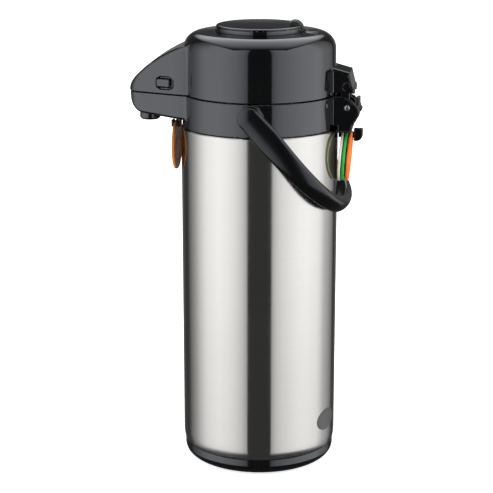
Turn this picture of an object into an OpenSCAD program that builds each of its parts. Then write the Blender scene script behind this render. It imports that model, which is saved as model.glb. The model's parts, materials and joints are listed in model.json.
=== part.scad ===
// Thermal coffee airpot: a double-walled steel vessel with a pump lid and a carrying handle.
// Millimetres. The origin is the centre of the resting face, +Z is up, the pouring beak
// points to -Y and the lid hinge is on the +Y side.

/* [Body] */
// Outside diameter of the steel casing
casing_d = 144; // [142:0.5:146]
// Height of the steel casing
casing_h = 302.5; // [270:0.5:330]
// Height of the black base ring
base_h = 16.5; // [15:0.5:19]
// Thickness of the steel sheet
steel_t = 0.8; // [0.6:0.1:0.9]
// Thickness of the moulded plastic walls
wall_t = 2.4; // [2:0.1:2.6]

/* [Lid] */
// Height of the black shoulder above the casing
shoulder_h = 30.2; // [30:0.1:31]
// Height of the lid above the shoulder
lid_h = 54.8; // [54:0.2:57]
// Distance from the pot's axis to the tip of the beak
beak_reach = 120.5; // [117:0.5:121.5]
// Radius of the beak's nose, seen from above
nose_r = 18.5; // [17.5:0.5:19.5]

/* [Pump] */
// Diameter of the push button
button_d = 80; // [78:1:82]
// Height of the button's rim above the lid
button_proud = 6.4; // [6:0.2:7]

/* [Handle] */
// Distance from the pivot to the middle of the grip
handle_reach = 117.2; // [116:0.2:120]
// Angle at which the handle hangs below the horizontal
handle_rest = 48; // [45:1:50]

/* [Tags] */
// Diameter of a hanging flavour tag
tag_d = 46; // [42:1:47]
// Thickness of a hanging flavour tag
tag_t = 2.6; // [2:0.2:2.8]

/* [Hidden] */

$fn = 96;
fine = 24;              // segments of small round parts
eps = 0.5;              // overlap of joined and cut shapes
running = 0.05;         // radial clearance of a shaft that turns
gap = 0.1;              // clearance between pieces that only touch

// colours
black = [0.05, 0.05, 0.055];
rubber = [0.13, 0.13, 0.13];
silicone = [0.86, 0.84, 0.78];
steel = [0.78, 0.78, 0.80];
natural = [0.90, 0.90, 0.86];

// heights of the main seams
casing_r = casing_d / 2;
shoulder_z = base_h + casing_h;
seam_z = shoulder_z + shoulder_h;
top_z = seam_z + lid_h;

// casing and liner
base_edge_r = casing_r - 1.4;       // the base, where it meets the casing
base_flat_r = casing_r - 10.8;      // the base, where it meets the table
foot_r = 60;
foot_h = 1.8;
foot_proud = 0.8;
shelf_z = shoulder_z - 0.4;         // the casing's upper shelf, below the shoulder
shelf_r = casing_r - 5.5;           // where the shelf turns into the cone
neck_r = 31;                        // outside of the liner's neck
neck_z = shoulder_z + 16;           // top of the necks
cone_z = shoulder_z + 12.6;         // top of the casing's cone
liner_r = casing_r - 8;
liner_t = 0.6;
liner_z = base_h + 13.5;            // underside of the liner's floor
liner_top = shoulder_z - 19;        // where the liner's wall ends

// shoulder and beak
shoulder_r = casing_r - 1.2;
lid_r = casing_r - 2.2;
top_rise = 0.9;                     // the lid's top is this much higher at the button
dome_r = 14.6;                      // round edge of the lid's dome
seam_gap = 0.7;
beak_root_w = 35;                   // half width of the beak at its root
beak_root_y = -61;
nose_y = nose_r - beak_reach;       // centre of the nose
beak_inside_y = -40;                // the beak's body runs this far into the lid
crown_r = 127;                      // bow of the beak's top line
crown_start = 20.5;                 // slope of that line at the root, in degrees
crown_end = 47.5;                   // and at the nose
crown_root = [-66.8, 43.7];         // its first point, from the axis and the seam
chin_r = 17;                        // round corner below the nose
chin_drop = 20.1;                   // from the seam to the beak's underside at the chin
throat_drop = 25.2;                 // from the seam to the underside at the root

// lid hinge
pin_y = 81.2;
pin_z = seam_z - 10.8;
pin_r = 2.3;
bracket_w = 17.5;                   // half width of hood and bracket
bracket_plate = 15;                 // inner face of the bracket's cheeks
bracket_z = shoulder_z - 3.4;       // underside of the bracket
knuckle_in = 12.6;
knuckle_out = 14.8;
knuckle_r = 6;
release_w = 6;

// stopper and pipes
stopper_bot = shoulder_z - 3;
flange_z = neck_z + 1.8;
flange_top = seam_z - 1.6;
flange_r = 36.5;
plug_r = 28.6;
tube_y = -17;
tube_r = 5;
pipe_r = 4;
pipe_z = seam_z - 7;
pipe_bore = 3.2;
elbow_r = 8;
nozzle_y = nose_y;
nozzle_r = 9.5;
nozzle_bot = shoulder_z + 2.6;
cage_y = 9;
cage_r = 7.6;
cage_h = 16;
ball_r = 4.5;
ball_seat_r = 2.5;

// pump
button_r = button_d / 2;
button_z = top_z + button_proud;    // top of the button's rim
skirt_h = 18.6;
sleeve_r = button_r + 0.7;
sleeve_t = 2;
plate_z = seam_z + 1.9;             // underside of the lid's inner plate
plate_t = 2;
bellows_r = 36;
bellows_bot = plate_z + plate_t;
bellows_top = top_z - 5;
folds = 6;
fold_depth = 6;
pusher_r = 30.5;
spring_r = 14;
spring_wire = 0.9;
spring_turns = 7;
screw_ring_r = 60;

// lock slide on the button
lock_w = 7;
lock_y = 27;                        // front end of the slide
lock_z = top_z + 1.1;               // floor of its track
lock_travel = 4;
lock_stem_y = 30;
lock_stem_w = 3;
lock_stem_t = 3;

// lid latch
latch_z = seam_z + 9.7;
latch_half_h = 3.8;
latch_front_y = -91.5;
latch_back_y = -78.2;
latch_travel = 3;
spring_wall_y = -68;                // wall behind the latch spring

// handle
pivot_z = seam_z - 12.3;
arm_in = casing_r + 2;              // inner face of the arms
arm_t = 6;
grip_t = 11;
strap_half = [[0, 10.5], [25, 11.4], [60, 9.7], [112, 7.2], [125, 6.9]];    // its half width, along it
arm_straight = 30;                  // straight length of the arms
squareness = 0.77;                  // 1 bends the grip as an ellipse, less makes its corners squarer
peg_r = 7;
peg_end = casing_r - 6.5;
boss_r = 11.5;

// tags
tag_r = tag_d / 2;
tag_hole_r = 3.7;
tag_peg_r = 2.6;
tag_drop = tag_r - 4;               // from a tag's hole to its centre
rear_peg_z = shoulder_z - 8;
front_peg_z = shoulder_z - 1;
tag_lean = 4.2;                     // rear tags lean in towards the pot
rear_tag_y = [76.8, 80.4, 84.4];    // white, green and orange
front_tag_y = -77.3;

// points of an arc about c, from angle a0 to a1
function arc(c, r, a0, a1, n = 10) =
    [for (i = [0:n]) let (a = a0 + (a1 - a0) * i / n) [c.x + r * cos(a), c.y + r * sin(a)]];

// an outline's points with x turned round, in reverse order
function mirrored(points) = [for (i = [len(points) - 1:-1:0]) [-points[i].x, points[i].y]];

// spins a profile of (radius, height) points about the pot's axis
module spin(points) {
    rotate_extrude() polygon(points);
}

// a flat ring between two radii and two heights
module ring(r_in, r_out, z0, z1) {
    translate([0, 0, z0]) difference() {
        cylinder(r = r_out, h = z1 - z0);
        translate([0, 0, -eps]) cylinder(r = r_in, h = z1 - z0 + 2 * eps);
    }
}

// a rod along X, between x0 and x1
module rod_x(r, x0, x1) {
    translate([x0, 0, 0]) rotate([0, 90, 0]) cylinder(r = r, h = x1 - x0);
}

// a rod along Y, between y0 and y1
module rod_y(r, y0, y1) {
    translate([0, y1, 0]) rotate([90, 0, 0]) cylinder(r = r, h = y1 - y0);
}

// a slab whose outline of (y, z) points is extruded along X, between x0 and x1
module slab_x(points, x0, x1) {
    translate([x0, 0, 0]) rotate([90, 0, 90]) linear_extrude(x1 - x0) polygon(points);
}

// a box between two corners
module block(low, high) {
    translate(low) cube(high - low);
}

// the child on both sides of the pot
module both_sides() {
    children();
    mirror([1, 0, 0]) children();
}

// a torus of wire radius t about the Z axis
module o_ring(r, t) {
    rotate_extrude() translate([r, 0]) circle(r = t, $fn = fine);
}

// ---------------------------------------------------------------- base and vessel

module base_cup() {
    floor_z = foot_proud;
    round_r = base_edge_r - base_flat_r;
    spigot_r = casing_r - 2 * steel_t - 0.5;
    spigot_top = base_h + 6;
    color(black) difference() {
        spin(concat(
            [[0, floor_z]],
            arc([base_flat_r, floor_z + round_r], round_r, -90, 0),
            [[base_edge_r, base_h - 0.3], [spigot_r, base_h - 0.3], [spigot_r, spigot_top],
             [0, spigot_top]]
        ));
        spin([
            [0, floor_z + wall_t], [base_flat_r - 2, floor_z + wall_t],
            [spigot_r - wall_t, floor_z + round_r], [spigot_r - wall_t, spigot_top + eps],
            [0, spigot_top + eps]
        ]);
        translate([0, 0, floor_z - eps]) cylinder(r = foot_r + gap, h = foot_h - floor_z + eps);
    }
}

// a rubber disc set into the base, with a groove inside its edge
module foot_pad() {
    color(rubber) difference() {
        cylinder(r = foot_r, h = foot_h);
        ring(foot_r - 8, foot_r - 6, -eps, 0.6);
    }
}

// the casing's outside, from its rolled lower edge to the top of its neck
function casing_outline(t) = concat(
    [[casing_r - 1.1 - t, base_h], [casing_r - 0.4 - t, base_h + 2.5], [casing_r - t, base_h + 7.5]],
    arc([casing_r - 2.2, shelf_z - 2.2], 2.2 - t, 0, 90, 6),
    [[shelf_r, shelf_z - t], [neck_r + 1.5, cone_z - t], [neck_r + gap + steel_t - t, cone_z + 1.4 - t],
     [neck_r + gap + steel_t - t, neck_z]]
);

module casing() {
    outside = casing_outline(0);
    inside = casing_outline(steel_t);
    color(steel) spin(concat(outside, [for (i = [len(inside) - 1:-1:0]) inside[i]]));
}

module casing_bottom() {
    disc_r = casing_r - steel_t - gap;
    z = base_h + 8.5;
    color(steel) difference() {
        spin([
            [0, z - 1.6], [9, z - 1.6], [14, z], [disc_r, z], [disc_r, z + 6],
            [disc_r - steel_t, z + 6], [disc_r - steel_t, z + steel_t], [14, z + steel_t],
            [9, z + steel_t - 1.6], [0, z + steel_t - 1.6]
        ]);
        translate([0, 0, z - 4]) cylinder(r = 1.5, h = 6);
    }
}

module vacuum_plug() {
    color(steel) translate([0, 0, base_h + 6.9 - 1.5]) cylinder(r = 5, h = 1.5);
}

// the liner's outside, from the middle of its floor to its lip
function liner_outline(t) = concat(
    [[0, liner_z + 2 + t], [30, liner_z + 1.2 + t]],
    arc([liner_r - 14, liner_z + 14], 14 - t, -90, 0, 8),
    arc([liner_r - 16, liner_top - 16], 16 - t, 0, 62, 6),
    [[neck_r - t, cone_z - 6 - t], [neck_r - t, neck_z]]
);

module liner() {
    outside = liner_outline(0);
    inside = liner_outline(liner_t);
    lip = [[neck_r + 3.5, neck_z], [neck_r + 3.5, neck_z + liner_t], [neck_r - liner_t, neck_z + liner_t]];
    color(steel) spin(concat(outside, lip, [for (i = [len(inside) - 1:-1:0]) inside[i]]));
}

// an oval plate, curved to the casing and low at its back
module badge() {
    half_w = 15;
    half_h = 10;
    steps = 48;
    oval = [for (i = [0:steps - 1]) let (a = 360 * i / steps) [half_w * cos(a), half_h * sin(a)]];
    color([0.12, 0.12, 0.13]) intersection() {
        ring(casing_r + 0.02, casing_r + 0.5, 20, 70);
        rotate([0, 0, 68]) translate([casing_r - 10, 0, base_h + 27.3]) rotate([90, 0, 90])
            linear_extrude(20) polygon(oval);
    }
}

// ---------------------------------------------------------------- shoulder

// the beak seen from above, with its wall taken off by inset
function beak_plan(inset) =
    let (
        w = beak_root_w - inset,
        r = nose_r - inset,
        root = [w, beak_root_y - nose_y],
        touch = atan2(root.y, root.x) - acos(r / norm(root)),
        side = concat([[w, beak_inside_y], [w, beak_root_y]], arc([0, nose_y], r, touch, -90, 12))
    )
    concat(side, mirrored(side));

// the beak's lower half seen from the side, as (y, z) points
function beak_under(inset) = concat(
    [[beak_inside_y, seam_z + eps], [beak_inside_y, seam_z - throat_drop + inset]],
    arc([chin_r - beak_reach, seam_z - chin_drop + chin_r], chin_r - inset, 270, 180, 8),
    [[inset - beak_reach, seam_z + eps]]
);

// the beak's upper half seen from the side
function beak_over(inset) =
    let (
        start = [crown_root.x, seam_z + crown_root.y],
        centre = start + crown_r * [sin(crown_start), -cos(crown_start)],
        crown = arc(centre, crown_r - inset, 90 + crown_start, 90 + crown_end, 8),
        last = crown[len(crown) - 1]
    )
    concat(
        [[beak_inside_y, seam_z - eps], [beak_inside_y, crown[0].y + 8]],
        crown,
        [[inset - beak_reach, last.y - 2.2], [inset - beak_reach, seam_z - eps]]
    );

module beak(side_view, inset, z0, z1) {
    intersection() {
        translate([0, 0, z0]) linear_extrude(z1 - z0) polygon(beak_plan(inset));
        slab_x(side_view, -beak_root_w, beak_root_w);
    }
}

// the cheek of the hinge bracket, as (y, z) points, with its rim taken off by inset
function bracket_side(inset) = [
    [casing_r + 0.6, bracket_z + inset], [pin_y + 4.2 - inset, bracket_z + inset],
    [pin_y + 5.3 - inset, shoulder_z + 3], [pin_y + 8.4 - inset, pin_z - 11.5],
    [pin_y + 11.2 - inset, pin_z - 6.5], [pin_y + 11.3 - inset, pin_z - 3],
    [pin_y + 10.4 - inset, pin_z - 0.5], [pin_y + 5.2 - inset, pin_z + 6 - inset],
    [pin_y - 3, seam_z - seam_gap - inset],
    [casing_r - 4, seam_z - seam_gap - inset], [casing_r - 4, shoulder_z + 3],
    [casing_r + 0.6, shoulder_z + 3]
];

module bracket() {
    slot_bot = pin_z - 8;
    post_in = release_w + 0.5;
    both_sides() difference() {
        slab_x(bracket_side(0), bracket_plate, bracket_w);
        slab_x(bracket_side(1.6), bracket_w - 0.8, bracket_w + eps);
    }
    // rear wall: full width below the knuckles, two posts beside the release above
    intersection() {
        slab_x(bracket_side(0), -bracket_w, bracket_w);
        difference() {
            union() {
                block([-bracket_w, casing_r, bracket_z - eps], [bracket_w, pin_y + 12, slot_bot]);
                both_sides()
                    block([post_in, pin_y, slot_bot - eps], [knuckle_in - 0.2, pin_y + 12, pin_z + 6.5]);
            }
            slab_x([
                [casing_r - 4, bracket_z + wall_t], [pin_y + 1.5, bracket_z + wall_t],
                [pin_y + 3.4, shoulder_z + 6], [pin_y + 6.4, shoulder_z + 9], [pin_y + 7.6, pin_z - 7],
                [pin_y + 7.6, seam_z], [casing_r - 4, seam_z]
            ], -bracket_plate, bracket_plate);
        }
    }
}

module shoulder_ring() {
    r_in = shoulder_r - wall_t;
    deck_z = shoulder_z + 3.4;          // underside of the deck, at the wall
    deck_rise = 12.9;
    deck_t = 2;
    collar_r = flange_r + 0.5;
    collar_top = neck_z + 4.5;
    // outer wall, standing on the casing's shelf
    spin([
        [shelf_r + 0.5, shelf_z], [casing_r - 2.6, shelf_z], [casing_r - 2.6, shoulder_z],
        [shoulder_r, shoulder_z], [shoulder_r, seam_z - seam_gap - 0.6],
        [shoulder_r - 0.6, seam_z - seam_gap], [r_in, seam_z - seam_gap], [r_in, deck_z], [shelf_r + 0.5, deck_z]
    ]);
    // sloping deck and the collar round the neck
    spin([
        [r_in + eps, deck_z], [collar_r, deck_z + deck_rise], [collar_r, collar_top],
        [collar_r + 2.2, collar_top], [collar_r + 2.2, deck_z + deck_t + deck_rise - 1],
        [r_in + eps, deck_z + deck_t]
    ]);
}

// the hook of the rear tags: a stem under the bracket, a peg and an upturned end
module rear_hook() {
    stem_y = casing_r + 0.7;
    block_y = rear_tag_y[2] + tag_t / 2 + 0.9;
    peg_z = rear_peg_z;
    block([-3, stem_y, peg_z - tag_peg_r], [3, stem_y + 1.8, shoulder_z + 1]);
    translate([0, 0, peg_z]) rod_y(tag_peg_r, stem_y + 1, block_y + 1);
    slab_x(concat(
        [[block_y, peg_z - 5.5]], arc([block_y + 2.4, peg_z + 0.5], 6, -90, 0, 6),
        [[block_y + 8.4, peg_z + 5], [block_y + 7.6, peg_z + 6.2], [block_y, peg_z + 6]]
    ), -4, 4);
}

// the hook of the front tag, below the beak
module front_hook() {
    stem_y = front_tag_y + tag_t / 2 + 0.7;
    block_y = front_tag_y - tag_t / 2 - 0.7;
    peg_z = front_peg_z;
    block([-4, stem_y, peg_z - 3.4], [4, stem_y + 2.4, seam_z - throat_drop + 5]);
    translate([0, 0, peg_z]) rod_y(tag_peg_r, block_y - 1, stem_y + 1);
    block([-4, block_y - 2.6, peg_z - 3.4], [4, block_y, peg_z + 3.4]);
}

module handle_bore() {
    translate([0, 0, pivot_z]) rod_x(peg_r + running, peg_end - 3, casing_r + 3);
}

module shoulder() {
    rib_x = 12;
    trough_z = pipe_z - 14;             // floor of the beak's trough
    color(black) difference() {
        union() {
            difference() {
                union() {
                    shoulder_ring();
                    difference() {
                        beak(beak_under(0), 0, shoulder_z, seam_z - seam_gap);
                        cylinder(r = shoulder_r - wall_t, h = seam_z);
                    }
                }
                // the trough of the beak, open to the inside of the shoulder
                beak(beak_under(wall_t), wall_t, trough_z, seam_z + eps);
            }
            // the sloping deck, where the trough runs out over it
            intersection() {
                shoulder_ring();
                cylinder(r = shoulder_r - wall_t - 2, h = seam_z);
            }
            // ribs that the latch bears on
            both_sides() intersection() {
                block([rib_x, nozzle_y - 0.5, trough_z], [rib_x + 6, nozzle_y + 2.5, seam_z - 2.3]);
                beak(beak_under(1), 1, shoulder_z, seam_z);
            }
            both_sides() translate([0, 0, pivot_z]) rod_x(boss_r, peg_end + 0.5, arm_in - 0.2);
            bracket();
            rear_hook();
            front_hook();
        }
        both_sides() handle_bore();
        // the pipe's way through the collar
        block([-pipe_r - 0.8, -flange_r - 6, pipe_z - pipe_r - 0.8], [pipe_r + 0.8, -flange_r + 6, seam_z]);
        translate([0, nozzle_y, shoulder_z]) cylinder(r = nozzle_r + gap, h = 16);
        translate([0, pin_y, pin_z]) rod_x(pin_r, -bracket_w - 1, bracket_w + 1);
    }
}

// ---------------------------------------------------------------- stopper and pipes

module neck_gasket() {
    color(silicone) ring(neck_r, flange_r - 0.5, neck_z + liner_t, flange_z);
}

module stopper() {
    color(natural) difference() {
        spin([
            [0, stopper_bot], [plug_r - 3, stopper_bot], [plug_r, stopper_bot + 3],
            [plug_r, flange_z], [flange_r, flange_z], [flange_r, flange_top - 0.8],
            [flange_r - 0.8, flange_top], [0, flange_top]
        ]);
        // groove of the plug's gasket
        ring(plug_r - 0.5, plug_r + 1, stopper_bot + 8.9, stopper_bot + 11.1);
        // socket of the dip tube, and the bend into the side outlet
        translate([0, tube_y, stopper_bot - eps])
            cylinder(r = tube_r + running, h = flange_z - stopper_bot);
        translate([0, tube_y, stopper_bot]) cylinder(r = pipe_bore, h = pipe_z - stopper_bot);
        translate([0, 0, pipe_z]) rod_y(pipe_bore, tube_y - 6, tube_y + pipe_bore);
        translate([0, 0, pipe_z]) rod_y(pipe_r + running, -flange_r - 1, tube_y - 4);
        translate([0, 0, pipe_z]) rod_y(pipe_r + 1.1, -flange_r + 3.4, -flange_r + 5);
        // air way down from the pump
        translate([0, cage_y, stopper_bot - eps]) cylinder(r = 3, h = flange_top - stopper_bot + 2 * eps);
    }
}

module stopper_gasket() {
    color(silicone) translate([0, 0, stopper_bot + 10]) o_ring(plug_r + 0.6, 1.05);
}

// a slotted cage that keeps the tipping ball below the air way
module valve_cage() {
    color(natural) translate([0, cage_y, stopper_bot - cage_h]) difference() {
        cylinder(r = cage_r, h = cage_h);
        translate([0, 0, 1.5]) cylinder(r = ball_r + 0.6, h = cage_h);
        translate([0, 0, -eps]) cylinder(r = ball_seat_r, h = 3);
        for (a = [0, 90]) rotate([0, 0, a])
            block([-cage_r - 1, -1.2, cage_h - 5], [cage_r + 1, 1.2, cage_h - 1.5]);
    }
}

module tip_valve_ball() {
    rise = sqrt(pow(ball_r, 2) - pow(ball_seat_r, 2)) + gap;
    color(steel) translate([0, cage_y, stopper_bot - cage_h + 1.5 + rise]) sphere(r = ball_r);
}

module dip_tube() {
    low = liner_z + 3.6;
    color(steel) translate([0, tube_y, 0]) ring(tube_r - 0.8, tube_r, low, flange_z - eps - gap);
}

module pipe_seal() {
    color(silicone) translate([0, -flange_r + 4.2, pipe_z]) rotate([90, 0, 0]) o_ring(pipe_r + 0.55, 0.5);
}

// the shape of the discharge pipe at radius r: along the trough, then down into the nozzle
module pipe_run(r, over) {
    bend_y = nozzle_y + elbow_r;
    end_z = nozzle_bot + 6;
    translate([0, 0, pipe_z]) rod_y(r, bend_y, tube_y - 6 + over);
    translate([0, bend_y, pipe_z - elbow_r]) rotate([0, -90, 0]) rotate([0, 0, -90])
        rotate_extrude(angle = 90) translate([elbow_r, 0]) circle(r = r, $fn = 48);
    translate([0, nozzle_y, end_z - over]) cylinder(r = r, h = pipe_z - elbow_r - end_z + over);
}

module discharge_pipe() {
    color(steel) difference() {
        pipe_run(pipe_r, 0);
        pipe_run(pipe_bore, eps);
    }
}

module nozzle() {
    stem_top = seam_z - 15.6;
    color(black) translate([0, nozzle_y, 0]) difference() {
        spin([
            [0, nozzle_bot], [nozzle_r - 1.6, nozzle_bot], [nozzle_r, nozzle_bot + 1.6],
            [nozzle_r, stem_top], [0, stem_top]
        ]);
        translate([0, 0, nozzle_bot]) cylinder(r = pipe_r + running, h = 40);
        translate([0, 0, nozzle_bot - eps]) cylinder(r1 = 7.4, r2 = pipe_r, h = 5, $fn = 48);
    }
}

module hinge_pin() {
    color(steel) translate([0, pin_y, pin_z]) {
        rod_x(pin_r - running, -bracket_w - 0.6, bracket_w + 0.6);
    }
}

// ---------------------------------------------------------------- lid

// the lid's round body as (radius, height) points, with its wall taken off by inset
function lid_outline(inset, bottom) = concat(
    [[0, bottom], [lid_r - inset, bottom]],
    arc([lid_r - 0.5 - dome_r, top_z - dome_r], dome_r - inset, 0, 87),
    [[sleeve_r, top_z + top_rise - inset], [0, top_z + top_rise - inset]]
);

// the hood over the hinge, as (y, z) points, with its wall taken off by inset
function hood_side(inset) = [
    [lid_r - 5, pin_z + 12.7], [pin_y + 6.8 - inset, pin_z + 12.7], [pin_y + 6.8 - inset, pin_z + 17.6],
    [pin_y + 5.4 - inset, pin_z + 19], [pin_y + 2.2 - inset, pin_z + 31.8 - inset],
    [lid_r - 5, pin_z + 36.8 - inset]
];

module hood() {
    difference() {
        slab_x(hood_side(0), -bracket_w, bracket_w);
        both_sides() slab_x(hood_side(1.8), bracket_w - 2.5, bracket_w + eps);
        translate([0, 0, -eps]) slab_x(hood_side(1.8), -knuckle_out + 1.8, knuckle_out - 1.8);
        // clearance over the hinge release
        block([-release_w - 3, pin_y, pin_z + 10], [release_w + 3, pin_y + 10, pin_z + 16.5]);
    }
    // the round bosses beside the hinge
    both_sides() translate([0, pin_y, pin_z + 18.6]) rod_x(4.6, knuckle_out - 1, bracket_w - 1);
}

// an arm of the lid that turns on the hinge pin
module knuckle() {
    difference() {
        union() {
            translate([0, pin_y, pin_z]) rod_x(knuckle_r, knuckle_in, knuckle_out);
            block([knuckle_in, pin_y - knuckle_r, pin_z], [knuckle_out, pin_y + 2.2, pin_z + 20]);
            block([knuckle_in, lid_r - 4, pin_z + 12.8], [knuckle_out, pin_y, pin_z + 20]);
        }
        translate([0, pin_y, pin_z]) rod_x(pin_r, knuckle_in - 1, knuckle_out + 1);
    }
}

module screw_places() {
    for (a = [45:90:315]) rotate([0, 0, a]) translate([screw_ring_r, 0, 0]) children();
}

// the slot of a latch tab and the shallow oval recess round it, on the +X side of the beak
module latch_opening() {
    y = (latch_front_y + latch_back_y) / 2 + latch_travel / 2;
    root = beak_plan(0)[1];
    nose = beak_plan(0)[2];
    share = (y - root.y) / (nose.y - root.y);
    slot = [(latch_back_y - latch_front_y + latch_travel) / 2 + 0.5, latch_half_h + 0.5];
    depth = 0.9;
    oval_r = 5.9;
    oval_half = 3.2;                    // from the oval's middle to the centre of its round end
    block([nose_r / 2, y - slot.x, latch_z - slot.y], [beak_root_w + 5, y + slot.x, latch_z + slot.y]);
    translate([root.x + share * (nose.x - root.x), y, latch_z])
        rotate([0, 0, atan2(root.x - nose.x, nose.y - root.y)]) {
            for (s = [-oval_half, oval_half]) translate([0, s, 0]) rod_x(oval_r, -depth, 4);
            block([-depth, -oval_half, -oval_r], [4, oval_half, oval_r]);
        }
}

module lid_shell() {
    post_z = plate_z + plate_t;
    color(black) {
        difference() {
            union() {
                spin(lid_outline(0, seam_z));
                beak(beak_over(0), 0, seam_z, top_z);
            }
            spin(lid_outline(wall_t, seam_z - eps));
            beak(beak_over(wall_t), wall_t, seam_z - eps, top_z);
            both_sides() latch_opening();
            cylinder(r = sleeve_r, h = top_z + 5);
        }
        difference() {
            union() {
                hood();
                both_sides() knuckle();
            }
            cylinder(r = lid_r - 0.6, h = top_z);
        }
        ring(sleeve_r, sleeve_r + sleeve_t, top_z - 23, top_z - wall_t + eps);
        // wall that carries the latch spring
        intersection() {
            block([-beak_root_w, spring_wall_y - 2, seam_z + 3], [beak_root_w, spring_wall_y, top_z]);
            beak(beak_over(1), 1, seam_z, top_z);
        }
        screw_places() difference() {
            translate([0, 0, post_z]) cylinder(r = 4, h = top_z - post_z - 3.8, $fn = fine);
            translate([0, 0, plate_z]) cylinder(r = 1.45, h = 12, $fn = fine);
        }
        // pad behind the button, where the lock slide's tongue rests
        block([-8, sleeve_r + sleeve_t + 1, top_z - 1], [8, sleeve_r + 12, top_z + top_rise + 0.6]);
    }
}

module lid_plate() {
    color(black) difference() {
        union() {
            ring(4, lid_r - wall_t - 0.5, plate_z, plate_z + plate_t);
            ring(bellows_r - 0.8, bellows_r + 1.2, plate_z, plate_z + plate_t + 3);
        }
        screw_places()
            translate([0, 0, plate_z - eps]) cylinder(r = 1.6, h = plate_t + 2 * eps, $fn = fine);
        for (a = [0:60:300]) rotate([0, 0, a])
            translate([8, 0, plate_z - eps]) cylinder(r = 1.5, h = plate_t + 2 * eps, $fn = fine);
    }
}

module lid_screws() {
    color(steel) screw_places() {
        translate([0, 0, plate_z - 1.6]) cylinder(r = 2.8, h = 1.6, $fn = fine);
        translate([0, 0, plate_z - 0.2]) cylinder(r = 1.4, h = 10, $fn = fine);
    }
}

// ---------------------------------------------------------------- pump

// (radius, height) points of the folds, on the outside for t = 0
function fold_points(t) =
    let (low = bellows_bot + 4, high = bellows_top - 1)
    [
        for (i = [0:2 * folds])
            [bellows_r - t - (i % 2 == 0 ? fold_depth : 0), low + (high - low) * i / (2 * folds)]
    ];

module bellows() {
    outside = fold_points(0);
    inside = fold_points(1);
    valley_r = bellows_r - fold_depth;
    color(silicone) spin(concat(
        [[valley_r - 1, bellows_bot], [bellows_r - 1.4, bellows_bot], [bellows_r - 1.4, bellows_bot + 1.2],
         [valley_r, bellows_bot + 1.2]],
        outside, [[valley_r, bellows_top], [valley_r - 2, bellows_top]],
        [for (i = [len(inside) - 1:-1:0]) inside[i]]
    ));
}

module bellows_ring() {
    color(natural) ring(bellows_r - 5.7, bellows_r - 1.2, bellows_bot + 1.3, bellows_bot + 2.8);
}

module air_seal() {
    color(silicone) difference() {
        ring(14, 20, flange_top + gap, plate_z);
        ring(16, 18, flange_top, flange_top + 1.4);
    }
}

// a rubber umbrella below the lid's inner plate
module check_valve() {
    color(silicone) {
        translate([0, 0, plate_z - 0.9]) cylinder(r = 10.5, h = 0.9);
        translate([0, 0, plate_z - 0.1]) cylinder(r = 3.9, h = plate_t + 0.2);
        translate([0, 0, plate_z + plate_t]) cylinder(r = 5.2, h = 1.4);
    }
}

// a coil of wire: rings of points about a helix of radius r, from height z0 to z1
module coil(r, wire, z0, z1, turns) {
    steps = 20 * turns;
    sides = 8;
    function rim(i, j) =
        let (a = 360 * turns * i / steps, b = 360 * j / sides, d = r + wire * cos(b))
        [d * cos(a), d * sin(a), z0 + wire + (z1 - z0 - 2 * wire) * i / steps + wire * sin(b)];
    points = [for (i = [0:steps], j = [0:sides - 1]) rim(i, j)];
    walls = [
        for (i = [0:steps - 1], j = [0:sides - 1])
            let (k = (j + 1) % sides)
            [i * sides + j, i * sides + k, (i + 1) * sides + k, (i + 1) * sides + j]
    ];
    first = [for (j = [sides - 1:-1:0]) j];
    last = [for (j = [0:sides - 1]) steps * sides + j];
    polyhedron(points, concat([first, last], walls), convexity = 10);
}

module button_spring() {
    color(steel) coil(spring_r, spring_wire, plate_z + plate_t + 0.1, bellows_top - 0.1, spring_turns);
}

module push_button() {
    edge = 1.8;
    skirt_in = button_r - 2;
    crown = 0.6;        // the middle of the button is this much above its rim
    stem_w = lock_stem_w + gap;
    slot_end = lock_stem_y + lock_stem_t + lock_travel + gap;
    color(black) difference() {
        union() {
            spin(concat(
                [[0, button_z - 2.2], [skirt_in, button_z - 2.6], [skirt_in, button_z - skirt_h],
                 [button_r, button_z - skirt_h]],
                arc([button_r - edge, button_z - edge], edge, 0, 90, 5),
                [[button_r * 0.7, button_z + crown * 0.7], [0, button_z + crown]]
            ));
            // crossed ribs that bear on the pusher plate
            for (a = [0, 90]) rotate([0, 0, a])
                block([-lock_y, -1, bellows_top + 2], [lock_y - 1, 1, button_z - 2]);
            // floor of the slide's track
            block([-lock_w - 2, lock_y - 1, lock_z - 2], [lock_w + 2, skirt_in - 1, button_z - 2]);
        }
        block([-lock_w - gap, lock_y - gap, lock_z], [lock_w + gap, button_r + 1, button_z + 2]);
        block([-stem_w, lock_stem_y - gap, lock_z - 3], [stem_w, slot_end, button_z]);
    }
}

module at_intake() {
    rotate([0, 0, 45]) translate([21, 0, 0]) children();
}

module pusher_plate() {
    color(natural) difference() {
        translate([0, 0, bellows_top]) cylinder(r = pusher_r, h = 2);
        translate([0, 0, bellows_top - eps]) at_intake() cylinder(r = 2, h = 3, $fn = fine);
    }
}

// a rubber flap hung below the hole of the pusher plate
module intake_valve() {
    color(silicone) translate([0, 0, bellows_top]) at_intake() {
        translate([0, 0, -1]) cylinder(r = 5, h = 1, $fn = fine);
        cylinder(r = 1.9, h = 2, $fn = fine);
        translate([0, 0, 2]) cylinder(r = 3, h = 0.8, $fn = fine);
    }
}

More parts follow.
